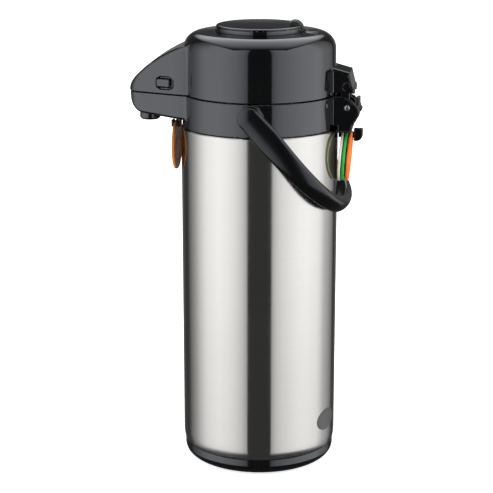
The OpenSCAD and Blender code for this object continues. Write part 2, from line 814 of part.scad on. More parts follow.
// a thumb slide in the button's edge: pushed outwards, its tongue rests on the lid
module lock_slider() {
    back_y = button_r - 0.9;
    z = lock_z + gap;
    foot_z = lock_z - 3.6;
    foot_w = lock_stem_w + 1.5;
    stem_back = lock_stem_y + lock_stem_t;
    color(black) {
        slab_x(concat(
            [[back_y, z], [back_y, z + 1.2]],
            arc([back_y - 7.4, button_z - 3.6], 7.9, 20, 125, 8),
            [[lock_y, button_z + 2], [lock_y, z]]
        ), -lock_w, lock_w);
        block([-lock_stem_w, lock_stem_y, foot_z], [lock_stem_w, stem_back, z + 1]);
        block([-foot_w, lock_stem_y, foot_z], [foot_w, stem_back, foot_z + 1.5]);
    }
}

// ---------------------------------------------------------------- latch and hinge release

module latch_bar() {
    hook_y = nozzle_y + 2.6;
    hook_x = 12.2;
    hook_w = 3.4;
    low_z = latch_z - latch_half_h;
    high_z = latch_z + latch_half_h;
    color(black) {
        // cross bar, wide enough to stand out of both sides as tabs
        intersection() {
            block([-beak_root_w, latch_front_y, low_z], [beak_root_w, latch_back_y, high_z]);
            translate([0, 0, latch_z - 5]) linear_extrude(10) polygon(beak_plan(-1.2));
        }
        // legs that reach down to the shoulder's ribs
        both_sides() block([hook_x, hook_y, seam_z - 7], [hook_x + hook_w, hook_y + 3, latch_z]);
        both_sides() block([hook_x, hook_y, low_z], [hook_x + hook_w, latch_front_y + 1, latch_z]);
        // stub inside the spring
        translate([0, 0, latch_z]) rod_y(1.6, latch_back_y - 0.1, latch_back_y + 3);
    }
}

module latch_spring() {
    length = spring_wall_y - 2 - latch_back_y - 2 * gap;
    color(steel) translate([0, latch_back_y + gap, latch_z]) rotate([-90, 0, 0])
        coil(2.8, 0.45, 0, length, 5);
}

module hinge_release() {
    wall_y = pin_y + 7.6;
    color(black) {
        block([-release_w, wall_y - 0.3, pin_z - 4.5], [release_w, pin_y + 11, pin_z + 8]);
        block([-release_w - 2.2, wall_y - 1.2, pin_z - 2.5], [release_w + 2.2, wall_y - 0.2, pin_z + 6]);
        translate([0, pin_y + 11, pin_z - 2.8]) rod_x(1.9, -release_w, release_w);
    }
}

// ---------------------------------------------------------------- handle

// half of the bail seen from above: arms along +Y, then a bend between an ellipse and a square
function bail(half_w, reach) = [
    for (i = [0:20])
        let (a = 90 * i / 20)
        [half_w * pow(cos(a), squareness), arm_straight + (reach - arm_straight) * pow(sin(a), squareness)]
];

module handle_strap() {
    arm_out = arm_in + arm_t;
    outer = concat([[arm_out, -20]], bail(arm_out, handle_reach + grip_t / 2));
    inner = concat([[arm_in, -20]], bail(arm_in, handle_reach - grip_t / 2));
    lower = [for (s = strap_half) [s.x, -s.y]];
    upper = [for (i = [len(strap_half) - 1:-1:0]) strap_half[i]];
    intersection() {
        translate([0, 0, -30]) linear_extrude(60) difference() {
            polygon(concat(outer, mirrored(outer)));
            polygon(concat([[arm_in, -21]], inner, mirrored(inner), [[-arm_in, -21]]));
        }
        union() {
            rod_x(strap_half[0].y, -arm_out - 1, arm_out + 1);
            slab_x(concat(lower, upper), -arm_out - 1, arm_out + 1);
        }
    }
}

module at_handle() {
    translate([0, 0, pivot_z]) rotate([-handle_rest, 0, 0]) children();
}

module handle() {
    color(black) difference() {
        union() {
            at_handle() handle_strap();
            both_sides() translate([0, 0, pivot_z]) rod_x(peg_r, peg_end, arm_in + 1);
        }
        both_sides() translate([0, 0, pivot_z]) rod_x(1.95, peg_end - 1, arm_in + 1, $fn = fine);
        // the grip's lower edge is relieved so that it rests clear of the casing
        cylinder(r = casing_r + 0.8, h = pivot_z - 30);
    }
}

module handle_washers() {
    color(steel) both_sides() translate([0, 0, pivot_z]) difference() {
        rod_x(9, peg_end - 1.6, peg_end - gap);
        rod_x(2.1, peg_end - 3, peg_end + 1);
    }
}

module handle_screws() {
    color(steel) both_sides() translate([0, 0, pivot_z]) {
        rod_x(3.6, peg_end - 3.8, peg_end - 1.7);
        rod_x(1.9, peg_end - 2, arm_in - 2);
    }
}

// ---------------------------------------------------------------- tags

// a round tag with a raised rim, hanging with its hole's top on the origin's peg
module tag(colour) {
    hang = tag_hole_r - tag_peg_r - 0.15;
    color(colour) translate([0, 0, -hang]) rotate([90, 0, 0]) difference() {
        translate([0, -tag_drop, -tag_t / 2]) cylinder(r = tag_r, h = tag_t);
        translate([0, 0, -tag_t]) cylinder(r = tag_hole_r, h = 2 * tag_t);
        for (side = [0, 1]) mirror([0, 0, side])
            translate([0, -tag_drop - 4, tag_t / 2 - 0.3]) cylinder(r = tag_r - 6.5, h = 1);
    }
}

module rear_tag(i, colour) {
    translate([0, rear_tag_y[i], rear_peg_z]) rotate([-tag_lean, 0, 0]) tag(colour);
}

module tag_front() {
    translate([0, front_tag_y, front_peg_z]) tag([0.62, 0.36, 0.16]);
}

module tag_white() {
    rear_tag(0, [0.93, 0.91, 0.84]);
}

module tag_green() {
    rear_tag(1, [0.25, 0.66, 0.30]);
}

module tag_orange() {
    rear_tag(2, [0.96, 0.42, 0.12]);
}

base_cup();
foot_pad();
casing();
casing_bottom();
vacuum_plug();
liner();
badge();
shoulder();
neck_gasket();
stopper();
stopper_gasket();
valve_cage();
tip_valve_ball();
dip_tube();
pipe_seal();
discharge_pipe();
nozzle();
hinge_pin();
lid_shell();
lid_plate();
lid_screws();
bellows();
bellows_ring();
air_seal();
check_valve();
button_spring();
push_button();
pusher_plate();
intake_valve();
lock_slider();
latch_bar();
latch_spring();
hinge_release();
handle();
handle_washers();
handle_screws();
tag_front();
tag_white();
tag_green();
tag_orange();
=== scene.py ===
"""Visual model of a thermal coffee airpot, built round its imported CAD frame.

Shapes are worked out in millimetres as distance fields or turned profiles, and become meshes in
metres. The pot stands on Z = 0, its beak points to -Y and the lid hinge is on the +Y side.
"""

import json
import math

import bmesh
import bpy
import numpy as np
from mathutils import Matrix, Vector


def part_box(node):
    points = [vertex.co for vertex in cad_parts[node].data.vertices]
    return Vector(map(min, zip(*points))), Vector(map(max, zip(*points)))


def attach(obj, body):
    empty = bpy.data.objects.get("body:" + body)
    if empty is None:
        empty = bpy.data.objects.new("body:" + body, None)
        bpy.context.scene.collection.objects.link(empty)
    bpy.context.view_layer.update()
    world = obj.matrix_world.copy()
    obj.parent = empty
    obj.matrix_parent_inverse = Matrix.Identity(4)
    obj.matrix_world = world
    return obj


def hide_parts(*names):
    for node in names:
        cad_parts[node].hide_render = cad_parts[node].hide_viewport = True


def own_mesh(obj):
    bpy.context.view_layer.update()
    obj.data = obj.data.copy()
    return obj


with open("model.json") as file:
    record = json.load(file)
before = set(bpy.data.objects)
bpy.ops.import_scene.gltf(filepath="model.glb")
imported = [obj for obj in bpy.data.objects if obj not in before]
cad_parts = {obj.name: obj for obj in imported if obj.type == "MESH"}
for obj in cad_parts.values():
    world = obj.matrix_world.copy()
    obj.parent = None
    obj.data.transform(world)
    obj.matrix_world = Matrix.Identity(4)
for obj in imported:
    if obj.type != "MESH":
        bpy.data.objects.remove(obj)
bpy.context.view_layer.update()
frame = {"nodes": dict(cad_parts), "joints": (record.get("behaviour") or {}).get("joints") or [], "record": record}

MM = 0.001
FINE = 0.55                 # cell of a small part's mesh, in mm
COARSE = 1.0                # cell of a large part's mesh, in mm


def low(node):
    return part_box(node)[0] / MM


def high(node):
    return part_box(node)[1] / MM


def joint(name):
    return next(j for j in frame["joints"] if j["name"] == name)


def anchor(name):
    return Vector(joint(name)["pos_m"]) / MM


def body_of(node):
    """The CAD body that a node belongs to."""
    bodies = frame["record"]["behaviour"]["bodies"]
    return next(body for body, members in bodies.items() if node in members)


# ---------------------------------------------------------------- sizes, from the frame

casing_r = high("casing").x
base_h = low("casing").z
neck_z = high("casing").z
shoulder_z = neck_z - 16
seam_gap = 0.7
seam_z = high("shoulder").z + seam_gap
top_rise = 0.9              # the lid's top is this much higher at the button
top_z = high("lid_shell").z - top_rise - 0.6
button_z = high("push_button").z - 0.6
button_r = high("push_button").x
beak_reach = -low("lid_shell").y
wall = 2.4

pin = anchor("lid_hinge")
pin_bore = 2.3
knuckle_in = 12.6           # the lid's knuckles on the hinge pin, from the middle
knuckle_out = 14.8
pivot = anchor("handle_swing")

shoulder_r = casing_r - 1.2
lid_r = casing_r - 2.2
dome_r = 14.6
sleeve_r = button_r + 0.7
lock_z = top_z + 1.1        # floor of the lock slide's track
lock_stem_y = 30.0

beak_w = 35.0
beak_root_y = -61.0
nose_r = 18.5
nose_y = nose_r - beak_reach
crown_r = 127.0
crown_slope = math.radians(20.5)
crown_y = -66.8 + crown_r * math.sin(crown_slope)
crown_z = seam_z + 43.7 - crown_r * math.cos(crown_slope)
chin_r = 17.0
chin_z = seam_z - 20.1

bracket_w = 17.5
bracket_z = shoulder_z - 3.4
latch_half = 3.8            # half height of the latch's tabs
latch_z = high("latch_bar").z - latch_half
latch_back = high("latch_bar").y - 3
latch_front = -91.5
guard_half = 5              # half height of the guards behind the latch's slots
handle_rest = math.radians(48)
tag_r = high("tag_front").x
tag_peg_r = 2.6
tag_hang = 0.95             # a tag's hole is this much below its peg, which is thinner


# ---------------------------------------------------------------- distance fields
# A field takes arrays x, y, z in mm and gives the distance to a shape, below zero inside it.

def blend_min(a, b, k):
    """Union of two fields, with a fillet of about k mm."""
    h = np.clip(0.5 + 0.5 * (b - a) / k, 0, 1)
    return b + (a - b) * h - k * h * (1 - h)


def blend_max(a, b, k):
    """Intersection of two fields, with its edge rounded by about k mm."""
    return -blend_min(-a, -b, k)


def union(*fields):
    return np.minimum.reduce(fields)


def slab(v, start, end):
    return np.abs(v - (start + end) / 2) - (end - start) / 2


def brick(x, y, z, lowest, highest, edge=0.6):
    """A box between two corners, with edges rounded by edge mm."""
    q = [slab(v, a, b) + edge for v, a, b in zip((x, y, z), lowest, highest)]
    outside = np.sqrt(sum(np.maximum(v, 0) ** 2 for v in q))
    return outside + np.minimum(np.maximum.reduce(q), 0) - edge


def rod(radial, along, radius, start, end, edge=0.5):
    """A cylinder of a given radius between two places on its axis."""
    a = radial - radius + edge
    b = slab(along, start, end) + edge
    outside = np.sqrt(np.maximum(a, 0) ** 2 + np.maximum(b, 0) ** 2)
    return outside + np.minimum(np.maximum(a, b), 0) - edge


def outline(u, v, points):
    """Distance to a closed outline of (u, v) points."""
    best = np.full(u.shape, 1e9)
    sign = np.ones(u.shape)
    count = len(points)
    for i in range(count):
        ax, ay = points[i]
        bx, by = points[i - 1]
        ex, ey = bx - ax, by - ay
        wx, wy = u - ax, v - ay
        t = np.clip((wx * ex + wy * ey) / (ex * ex + ey * ey), 0, 1)
        best = np.minimum(best, (wx - ex * t) ** 2 + (wy - ey * t) ** 2)
        above = v >= ay
        below_next = v < by
        left = ex * wy > ey * wx
        flip = (above & below_next & left) | (~above & ~below_next & ~left)
        sign = np.where(flip, -sign, sign)
    return sign * np.sqrt(best)


def sample(field, start, counts, cell):
    """Values of a field on a grid. Only blocks near the surface are worked out in full."""
    block = 8
    blocks = -(-counts // block)
    index = np.stack(np.meshgrid(*[np.arange(n) for n in blocks], indexing="ij"), -1).reshape(-1, 3)
    centres = start + cell * (index * block + (block - 1) / 2)
    middle = field(*centres.T)
    reach = cell * block * math.sqrt(3) / 2 + 6
    values = np.repeat(np.sign(middle)[:, None] * reach, block ** 3, 1)
    near = np.flatnonzero(np.abs(middle) < reach)
    steps = np.stack(np.meshgrid(*[np.arange(block)] * 3, indexing="ij"), -1).reshape(-1, 3)
    for part in np.array_split(near, max(1, len(near) // 400)):
        if len(part) == 0:
            continue
        points = (index[part][:, None, :] * block + steps[None]).reshape(-1, 3) * cell + start
        values[part] = field(*points.T).reshape(len(part), -1)
    grid = values.reshape(*blocks, block, block, block).transpose(0, 3, 1, 4, 2, 5)
    return grid.reshape(blocks * block)


def slope(field, points, step=0.05):
    """The field's gradient at each point."""
    out = np.empty_like(points)
    for axis in range(3):
        shift = np.zeros(3)
        shift[axis] = step
        out[:, axis] = (field(*(points + shift).T) - field(*(points - shift).T)) / (2 * step)
    return out


def surface_net(field, lowest, highest, cell):
    """Vertices, normals and quads of the surface of a field within a box."""
    start = np.array(lowest, float) - 2 * cell
    counts = np.ceil((np.array(highest, float) + 2 * cell - start) / cell).astype(int) + 1
    grid = sample(field, start, counts, cell)
    inside = grid < 0
    corner_steps = [(i, j, k) for i in (0, 1) for j in (0, 1) for k in (0, 1)]
    size = np.array(grid.shape) - 1

    def shifted(a, s):
        return a[s[0]:s[0] + size[0], s[1]:s[1] + size[1], s[2]:s[2] + size[2]]

    total = sum(shifted(inside, s).astype(np.int8) for s in corner_steps)
    active = (total > 0) & (total < 8)
    cells = np.argwhere(active)
    number = np.full(active.shape, -1)
    number[active] = np.arange(len(cells))

    place = np.zeros((len(cells), 3))
    hits = np.zeros(len(cells))
    for a, s in enumerate(corner_steps):
        for t in corner_steps[a + 1:]:
            if sum(abs(p - q) for p, q in zip(s, t)) != 1:
                continue
            va = grid[tuple((cells + s).T)]
            vb = grid[tuple((cells + t).T)]
            crossed = (va < 0) != (vb < 0)
            share = np.where(crossed, va / np.where(crossed, va - vb, 1), 0)[:, None]
            point = np.array(s) + share * (np.array(t) - np.array(s))
            place += np.where(crossed[:, None], point, 0)
            hits += crossed
    points = start + cell * (cells + place / hits[:, None])
    for _ in range(2):
        value = field(*points.T)
        grad = slope(field, points)
        move = -(value / np.maximum((grad ** 2).sum(1), 0.2))[:, None] * grad
        points += np.clip(move, -0.5 * cell, 0.5 * cell)
    normals = slope(field, points)
    normals /= np.maximum(np.linalg.norm(normals, axis=1), 1e-9)[:, None]

    quads = []
    for axis in range(3):
        b, c = (axis + 1) % 3, (axis + 2) % 3
        first = [slice(None)] * 3
        second = [slice(None)] * 3
        first[axis], second[axis] = slice(0, -1), slice(1, None)
        differs = inside[tuple(first)] != inside[tuple(second)]
        edges = np.argwhere(differs)
        keep = (edges[:, b] > 0) & (edges[:, c] > 0) & (edges[:, b] < size[b]) & (edges[:, c] < size[c])
        edges = edges[keep]
        step_b, step_c = np.eye(3, dtype=int)[b], np.eye(3, dtype=int)[c]
        around = [edges, edges - step_b, edges - step_b - step_c, edges - step_c]
        quad = np.stack([number[tuple(e.T)] for e in around], 1)
        outward = inside[tuple(edges.T)]
        quad[~outward] = quad[~outward][:, ::-1]
        quads.append(quad)
    return points, normals, np.concatenate(quads)


# ---------------------------------------------------------------- meshes

def add_object(name, points, faces, place=None):
    """A mesh object from points in mm; place is an optional matrix in mm."""
    if place is not None:
        turned = np.array(place.to_3x3())
        points = points @ turned.T + np.array(place.translation)
    mesh = bpy.data.meshes.new(name)
    mesh.from_pydata((points * MM).tolist(), [], faces if isinstance(faces, list) else faces.tolist())
    mesh.validate()
    obj = bpy.data.objects.new(name, mesh)
    bpy.context.scene.collection.objects.link(obj)
    return obj


def smooth(obj, angle=35):
    obj.data.shade_smooth()
    obj.data.set_sharp_from_angle(angle=math.radians(angle))


def moulded(name, field, lowest, highest, cell=COARSE, place=None):
    """An object meshed from a distance field, shaded with the field's own normals."""
    points, normals, quads = surface_net(field, lowest, highest, cell)
    obj = add_object(name, points, quads, place)
    obj.data.shade_smooth()
    if place is not None:
        normals = normals @ np.array(place.to_3x3()).T
    obj.data.normals_split_custom_set_from_vertices(normals.tolist())
    return obj


def soften(points, radius, steps=4, closed=True):
    """Rounds the corners of a profile."""
    out = []
    count = len(points)
    for i, point in enumerate(points):
        p = Vector(point)
        before = Vector(points[i - 1])
        after = Vector(points[(i + 1) % count])
        on_axis = p.x < 1e-6
        if on_axis or (not closed and i in (0, count - 1)):
            out.append(tuple(p))
            continue
        cut_a = min(radius, 0.45 * (before - p).length)
        cut_b = min(radius, 0.45 * (after - p).length)
        a = p + (before - p).normalized() * cut_a
        b = p + (after - p).normalized() * cut_b
        for s in range(steps + 1):
            t = s / steps
            out.append(tuple(a * (1 - t) ** 2 + p * 2 * t * (1 - t) + b * t * t))
    return out


def turned(name, profile, centre=(0, 0), segments=192):
    """An object turned about a vertical axis from a closed profile of (radius, height) in mm."""
    profile = [tuple(p) for p in profile]
    count = len(profile)
    angles = np.linspace(0, 2 * math.pi, segments, endpoint=False)
    radius = np.array([max(p[0], 0) for p in profile])
    height = np.array([p[1] for p in profile])
    points = np.stack([
        centre[0] + np.outer(np.cos(angles), radius),
        centre[1] + np.outer(np.sin(angles), radius),
        np.broadcast_to(height, (segments, count))], -1).reshape(-1, 3)
    faces = []
    for s in range(segments):
        t = (s + 1) % segments
        for i in range(count):
            j = (i + 1) % count
            if radius[i] < 1e-6 and radius[j] < 1e-6:
                continue
            faces.append((s * count + i, t * count + i, t * count + j, s * count + j))
    obj = add_object(name, points, faces)
    work = bmesh.new()
    work.from_mesh(obj.data)
    bmesh.ops.remove_doubles(work, verts=work.verts, dist=1e-7)
    bmesh.ops.recalc_face_normals(work, faces=work.faces)
    work.to_mesh(obj.data)
    work.free()
    smooth(obj)
    return obj


def arc(centre, radius, start, end, count=10):
    """Points of an arc, with angles in degrees."""
    out = []
    for i in range(count + 1):
        a = math.radians(start + (end - start) * i / count)
        out.append((centre[0] + radius * math.cos(a), centre[1] + radius * math.sin(a)))
    return out


# ---------------------------------------------------------------- materials

class Nodes:
    """Adds nodes to a shader tree and joins them."""

    def __init__(self, tree):
        self.tree = tree

    def add(self, kind, **inputs):
        node = self.tree.nodes.new(kind)
        for key, value in inputs.items():
            self.put(node, key, value)
        return node

    def put(self, node, key, value):
        socket = node.inputs[key]
        if isinstance(value, bpy.types.NodeSocket):
            self.tree.links.new(value, socket)
        else:
            socket.default_value = value

    def ranged(self, value, low_in, high_in, low_out, high_out):
        node = self.add("ShaderNodeMapRange")
        node.interpolation_type = "SMOOTHSTEP"
        for key, item in zip((0, 1, 2, 3, 4), (value, low_in, high_in, low_out, high_out)):
            self.put(node, key, item)
        return node.outputs[0]

    def mix(self, share, a, b):
        node = self.tree.nodes.new("ShaderNodeMix")
        node.data_type = "RGBA"
        self.put(node, 0, share)
        self.put(node, 6, a)
        self.put(node, 7, b)
        return node.outputs[2]

    def math(self, operation, a, b):
        node = self.tree.nodes.new("ShaderNodeMath")
        node.operation = operation
        self.put(node, 0, a)
        self.put(node, 1, b)
        return node.outputs[0]


class Paint(Nodes):
    """Builds one node material. Its patterns follow the object's own place."""

    def __init__(self, name):
        self.material = bpy.data.materials.new(name)
        self.material.use_nodes = True
        super().__init__(self.material.node_tree)
        self.shader = self.tree.nodes["Principled BSDF"]
        self.place = self.add("ShaderNodeTexCoord").outputs["Object"]

    def noise(self, scale, detail=3.0, stretch=(1, 1, 1), rough=0.55):
        """Noise of a number of cells per metre, 0 to 1."""
        mapping = self.add("ShaderNodeMapping", Vector=self.place, Scale=stretch)
        node = self.add("ShaderNodeTexNoise", Vector=mapping.outputs[0], Scale=scale, Detail=detail,
                        Roughness=rough)
        return node.outputs["Fac"]

    def bump(self, height, depth_mm, under=None):
        node = self.add("ShaderNodeBump", Height=height, Distance=depth_mm * MM, Strength=1.0)
        if under is not None:
            self.put(node, "Normal", under)
        return node.outputs[0]

    def worn(self):
        """1 on worn outer edges, 0 elsewhere."""
        geometry = self.add("ShaderNodeNewGeometry")
        edge = self.ranged(geometry.outputs["Pointiness"], 0.52, 0.60, 0.0, 1.0)
        patches = self.ranged(self.noise(90, 4), 0.45, 0.7, 0.0, 1.0)
        return self.math("MULTIPLY", edge, patches)

    def finish(self, **inputs):
        for key, value in inputs.items():
            self.put(self.shader, key.replace("_", " "), value)
        return self.material


def grey(value, tint=(1, 1, 1)):
    return tuple(value * t for t in tint) + (1.0,)


def plastic(name, colour, colour_b, rough, rough_spread, orange_peel, specular=0.5, reflection_tint=(1, 1, 1)):
    """Moulded plastic: soft mottling, fine hairline scratches, dust and rubbed edges."""
    p = Paint(name)
    mottle = p.noise(35, 4)
    base = p.mix(p.ranged(mottle, 0.35, 0.65, 0.0, 1.0), colour, colour_b)
    lighter = tuple(min(1.0, c * 1.4 + 0.002) for c in colour[:3]) + (1.0,)
    base = p.mix(p.math("MULTIPLY", p.worn(), 0.5), base, lighter)
    smear = p.ranged(p.noise(14, 5), 0.35, 0.75, rough - rough_spread, rough + rough_spread)
    scratch = p.ranged(p.noise(260, 2, (1, 0.06, 0.4)), 0.66, 0.74, 0.0, 0.12)
    peel = p.bump(p.noise(330, 2), orange_peel)
    dents = p.bump(p.noise(40, 2), orange_peel * 3, peel)
    # painted reflection colour: the specular tint gives the reflections a colour; the black mouldings get the cool
    # colour of the lights
    return p.finish(Base_Color=base, Roughness=p.math("ADD", smear, scratch), Normal=dents,
                    Specular_IOR_Level=specular, Specular_Tint=grey(1.0, reflection_tint))


def tag_plastic(name, colour, colour_b, rough):
    return plastic(name, colour, colour_b, rough, 0.06, 0.006, 0.25)


def rubbed_metal(name, colour, rough, grain, depth_mm, aniso=0.0, tint=0.06):
    """Steel with grain stretched along the brushing, faint stains and rubbed spots."""
    p = Paint(name)
    lines = p.noise(1.0, 3, grain)
    broad = p.noise(9, 3)
    darker = tuple(c * (1 - tint) for c in colour[:3]) + (1.0,)
    base = p.mix(p.ranged(lines, 0.3, 0.7, 0.0, 1.0), darker, colour)
    smear = p.ranged(broad, 0.3, 0.7, -0.03, 0.04)
    rough_lines = p.ranged(lines, 0.25, 0.75, rough * 0.75, rough * 1.25)
    inputs = dict(Base_Color=base, Metallic=1.0, Roughness=p.math("ADD", rough_lines, smear),
                  Normal=p.bump(lines, depth_mm))
    if aniso:
        tangent = p.tree.nodes.new("ShaderNodeTangent")
        tangent.direction_type = "RADIAL"
        tangent.axis = "Z"
        inputs["Tangent"] = tangent.outputs[0]
        inputs["Anisotropic"] = aniso
        inputs["Anisotropic_Rotation"] = 0.25
    return p.finish(**inputs)


def rubber(name, colour, colour_b, rough=0.6, translucent=0.0):
    p = Paint(name)
    base = p.mix(p.ranged(p.noise(60, 5), 0.35, 0.65, 0.0, 1.0), colour, colour_b)
    rough_map = p.ranged(p.noise(120, 4), 0.3, 0.7, rough - 0.1, rough + 0.12)
    return p.finish(Base_Color=base, Roughness=rough_map, Normal=p.bump(p.noise(900, 3), 0.03),
                    Subsurface_Weight=translucent, Subsurface_Radius=(0.004, 0.003, 0.002))


BLACK = grey(0.0008, (0.95, 1.0, 1.08))
BLACK_B = grey(0.0014, (0.97, 1.0, 1.05))
# painted light: the cool colour of the reflected softboxes, put into the black plastics' specular tint
COOL = (0.88, 0.92, 1.0)    # tint of what the black mouldings reflect
finishes = {
    "black_plastic": plastic("black_plastic", BLACK, BLACK_B, 0.085, 0.02, 0.0012, 0.7, COOL),
    "black_satin": plastic("black_satin", BLACK, BLACK_B, 0.22, 0.04, 0.003, 0.5, COOL),
    "black_matt": plastic("black_matt", grey(0.016), grey(0.026), 0.36, 0.08, 0.012, 0.45),
    "foot_rubber": rubber("foot_rubber", grey(0.02), grey(0.04), 0.7),
    "brushed_steel": rubbed_metal("brushed_steel", grey(0.40, (1.0, 0.99, 0.965)), 0.13,
                                  (14, 14, 5200), 0.0012, 0.8, 0.05),
    "plain_steel": rubbed_metal("plain_steel", grey(0.55), 0.24, (160, 160, 900), 0.002),
    "pin_steel": rubbed_metal("pin_steel", grey(0.68), 0.15, (900, 60, 60), 0.002),
    "spring_steel": rubbed_metal("spring_steel", grey(0.5), 0.22, (300, 300, 1500), 0.002),
    "badge_grey": plastic("badge_grey", grey(0.03), grey(0.045), 0.3, 0.05, 0.004),
    "silicone": rubber("silicone", grey(0.62, (1, 0.97, 0.9)), grey(0.5, (1, 0.95, 0.86)), 0.5, 0.2),
    "natural_plastic": plastic("natural_plastic", grey(0.72, (1, 0.99, 0.94)),
                               grey(0.64, (1, 0.98, 0.92)), 0.35, 0.06, 0.006),
    "tag_brown": tag_plastic("tag_brown", (0.50, 0.175, 0.035, 1), (0.40, 0.13, 0.028, 1), 0.3),
    "tag_white": tag_plastic("tag_white", (0.80, 0.76, 0.64, 1), (0.70, 0.66, 0.53, 1), 0.3),
    "tag_green": tag_plastic("tag_green", (0.03, 0.46, 0.075, 1), (0.025, 0.37, 0.06, 1), 0.28),
    "tag_orange": tag_plastic("tag_orange", (0.92, 0.20, 0.025, 1), (0.80, 0.15, 0.018, 1), 0.28),
}


def show(obj, node, finish):
    """obj stands for a CAD node: it rides on the node's body and takes one of the finishes.

    The finish is also the name of its material slot.
    """
    obj.data.materials.clear()
    obj.data.materials.append(finishes[finish])
    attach(obj, body_of(node))
    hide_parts(node)
    return obj


# ---------------------------------------------------------------- the beak, shared by lid and shoulder

ROOT = (beak_w, beak_root_y - nose_y)
TOUCH = math.atan2(ROOT[1], ROOT[0]) - math.acos(nose_r / math.hypot(*ROOT))
SIDE_NORMAL = (math.cos(TOUCH), math.sin(TOUCH))


def beak_plan(x, y):
    """The beak seen from above: straight at its root, then tapering to a round nose."""
    side = np.abs(x)
    across = side * SIDE_NORMAL[0] + (y - nose_y) * SIDE_NORMAL[1]
    along = -side * SIDE_NORMAL[1] + (y - nose_y) * SIDE_NORMAL[0]
    taper = np.where(along > 0, across, np.hypot(side, y - nose_y)) - nose_r
    return blend_max(taper, side - beak_w, 5.0)


def beak_over(x, y, z):
    """The whole upper half of the beak, without its wall taken out."""
    crown = np.hypot(y - crown_y, z - crown_z) - crown_r
    top = blend_max(crown, beak_plan(x, y), 4.5)
    return np.maximum(top, y + 40)


def beak_under(x, y, z):
    """The whole lower half of the beak."""
    cy, cz = chin_r - beak_reach, chin_z + chin_r
    chin = np.where((y < cy) & (z < cz), np.hypot(y - cy, z - cz) - chin_r, -1e3)
    floor_z = chin_z - (y - cy) * 5.1 / (-40 - cy)
    lower = np.maximum(floor_z - z, -beak_reach - y)
    lower = np.where((y < cy) & (z < cz), chin, lower)
    return np.maximum(blend_max(lower, beak_plan(x, y), 4.0), y + 40)


# ---------------------------------------------------------------- lid

def dome(r, z):
    """The lid's round body, with a large radius at its top."""
    edge = lid_r - 0.5 * np.clip((z - seam_z) / (top_z - dome_r - seam_z), 0, 1)
    a = r - edge + dome_r
    b = z - top_z + dome_r - top_rise * np.clip((lid_r - dome_r - r) / 14, 0, 1)
    outside = np.hypot(np.maximum(a, 0), np.maximum(b, 0))
    return outside + np.minimum(np.maximum(a, b), 0) - dome_r


def lid_body(x, y, z):
    """Dome and beak, with a tight corner between them at the sides and a wider one at the top."""
    rise = np.clip((z - seam_z - 20) / 22, 0, 1)
    fillet = 1.0 + 1.6 * rise * rise * (3 - 2 * rise)
    return blend_min(dome(np.hypot(x, y), z), beak_over(x, y, z), fillet)


def hood_outline(inset):
    y, z = pin.y, pin.z
    return [
        (lid_r - 5, z + 12.7), (y + 6.8 - inset, z + 12.7), (y + 6.8 - inset, z + 17.6),
        (y + 5.4 - inset, z + 19), (y + 2.2 - inset, z + 31.8 - inset),
        (lid_r - 5, z + 36.8 - inset),
    ]


def latch_frame(x, y):
    """Distances along and out of the beak's tapering side, from the middle of the latch's recess."""
    middle_y = (latch_front + latch_back) / 2 + 1.5
    reach = (nose_r - (middle_y - nose_y) * SIDE_NORMAL[1]) / SIDE_NORMAL[0]
    dx, dy = np.abs(x) - reach, y - middle_y
    out = dx * SIDE_NORMAL[0] + dy * SIDE_NORMAL[1]
    along = -dx * SIDE_NORMAL[1] + dy * SIDE_NORMAL[0]
    return along, out


def lid_field(x, y, z):
    r = np.hypot(x, y)
    skin = lid_body(x, y, z)
    shell = np.maximum(skin, -(skin + wall))
    shell = blend_max(shell, seam_z - z, 0.7)
    # round opening of the button, with its sleeve
    sleeve = np.maximum(slab(r, sleeve_r - 1, sleeve_r + 2), slab(z, top_z - 23, top_z - 1))
    shell = blend_max(union(shell, sleeve), sleeve_r - r, 0.8)
    # oval recess and slot of the latch
    along, out = latch_frame(x, y)
    oval = np.hypot(np.maximum(np.abs(along) - 3.2, 0), z - latch_z) - 5.9
    recess = blend_max(oval, -out - 1.6, 0.8)
    shell = blend_max(shell, -recess, 0.8)
    slot = brick(along, z, out, (-9, latch_z - 4.2, -9), (9, latch_z + 4.2, 3), 1.5)
    shell = np.maximum(shell, -slot)
    # hood over the hinge
    sides = np.abs(x) - bracket_w
    hood = blend_max(outline(y, z, hood_outline(0)), sides, 1.8)
    cheek = np.maximum(outline(y, z, hood_outline(2.2)), -(sides + 2.5))
    hood = blend_max(hood, -cheek, 0.9)
    hollow = np.maximum(outline(y, z - 0.6, hood_outline(1.8)), np.abs(x) - 13)
    hood = np.maximum(hood, -hollow)
    hood = np.maximum(hood, -brick(x, y, z, (-9, pin.y, pin.z + 9), (9, pin.y + 10, pin.z + 16.5)))
    boss = rod(np.hypot(y - pin.y, z - pin.z - 18.6), np.abs(x), 4.6, 13.8, 16.4)
    from_pin = np.hypot(y - pin.y, z - pin.z)
    rise = brick(np.abs(x), y, z, (knuckle_in, pin.y - 6, pin.z), (knuckle_out, pin.y + 2.2, pin.z + 20))
    root = brick(np.abs(x), y, z, (knuckle_in, lid_r - 4, pin.z + 12.8), (knuckle_out, pin.y, pin.z + 20))
    arm = union(rod(from_pin, np.abs(x), 6, knuckle_in, knuckle_out), rise, root)
    arm = np.maximum(arm, pin_bore - from_pin)
    rear = np.maximum(union(hood, boss, arm), lid_r - 0.8 - r)
    # wall behind the latch spring, screw bosses and the pad behind the button
    spring_wall = np.maximum(slab(y, -70, -68), np.maximum(skin + 1, seam_z + 3 - z))
    turn = np.hypot(np.abs(x) - 60 * math.sqrt(0.5), np.abs(y) - 60 * math.sqrt(0.5))
    posts = rod(turn, z, 4, seam_z + 3.9, top_z - 3)
    posts = np.maximum(posts, 1.45 - turn)
    posts = np.maximum(posts, skin + 1)
    pad = brick(x, y, z, (-8, sleeve_r + 2.5, top_z - 1), (8, sleeve_r + 12, top_z + top_rise + 0.6), 0.8)
    return union(blend_min(shell, rear, 1.2), spring_wall, posts, blend_min(pad, shell, 1.0))


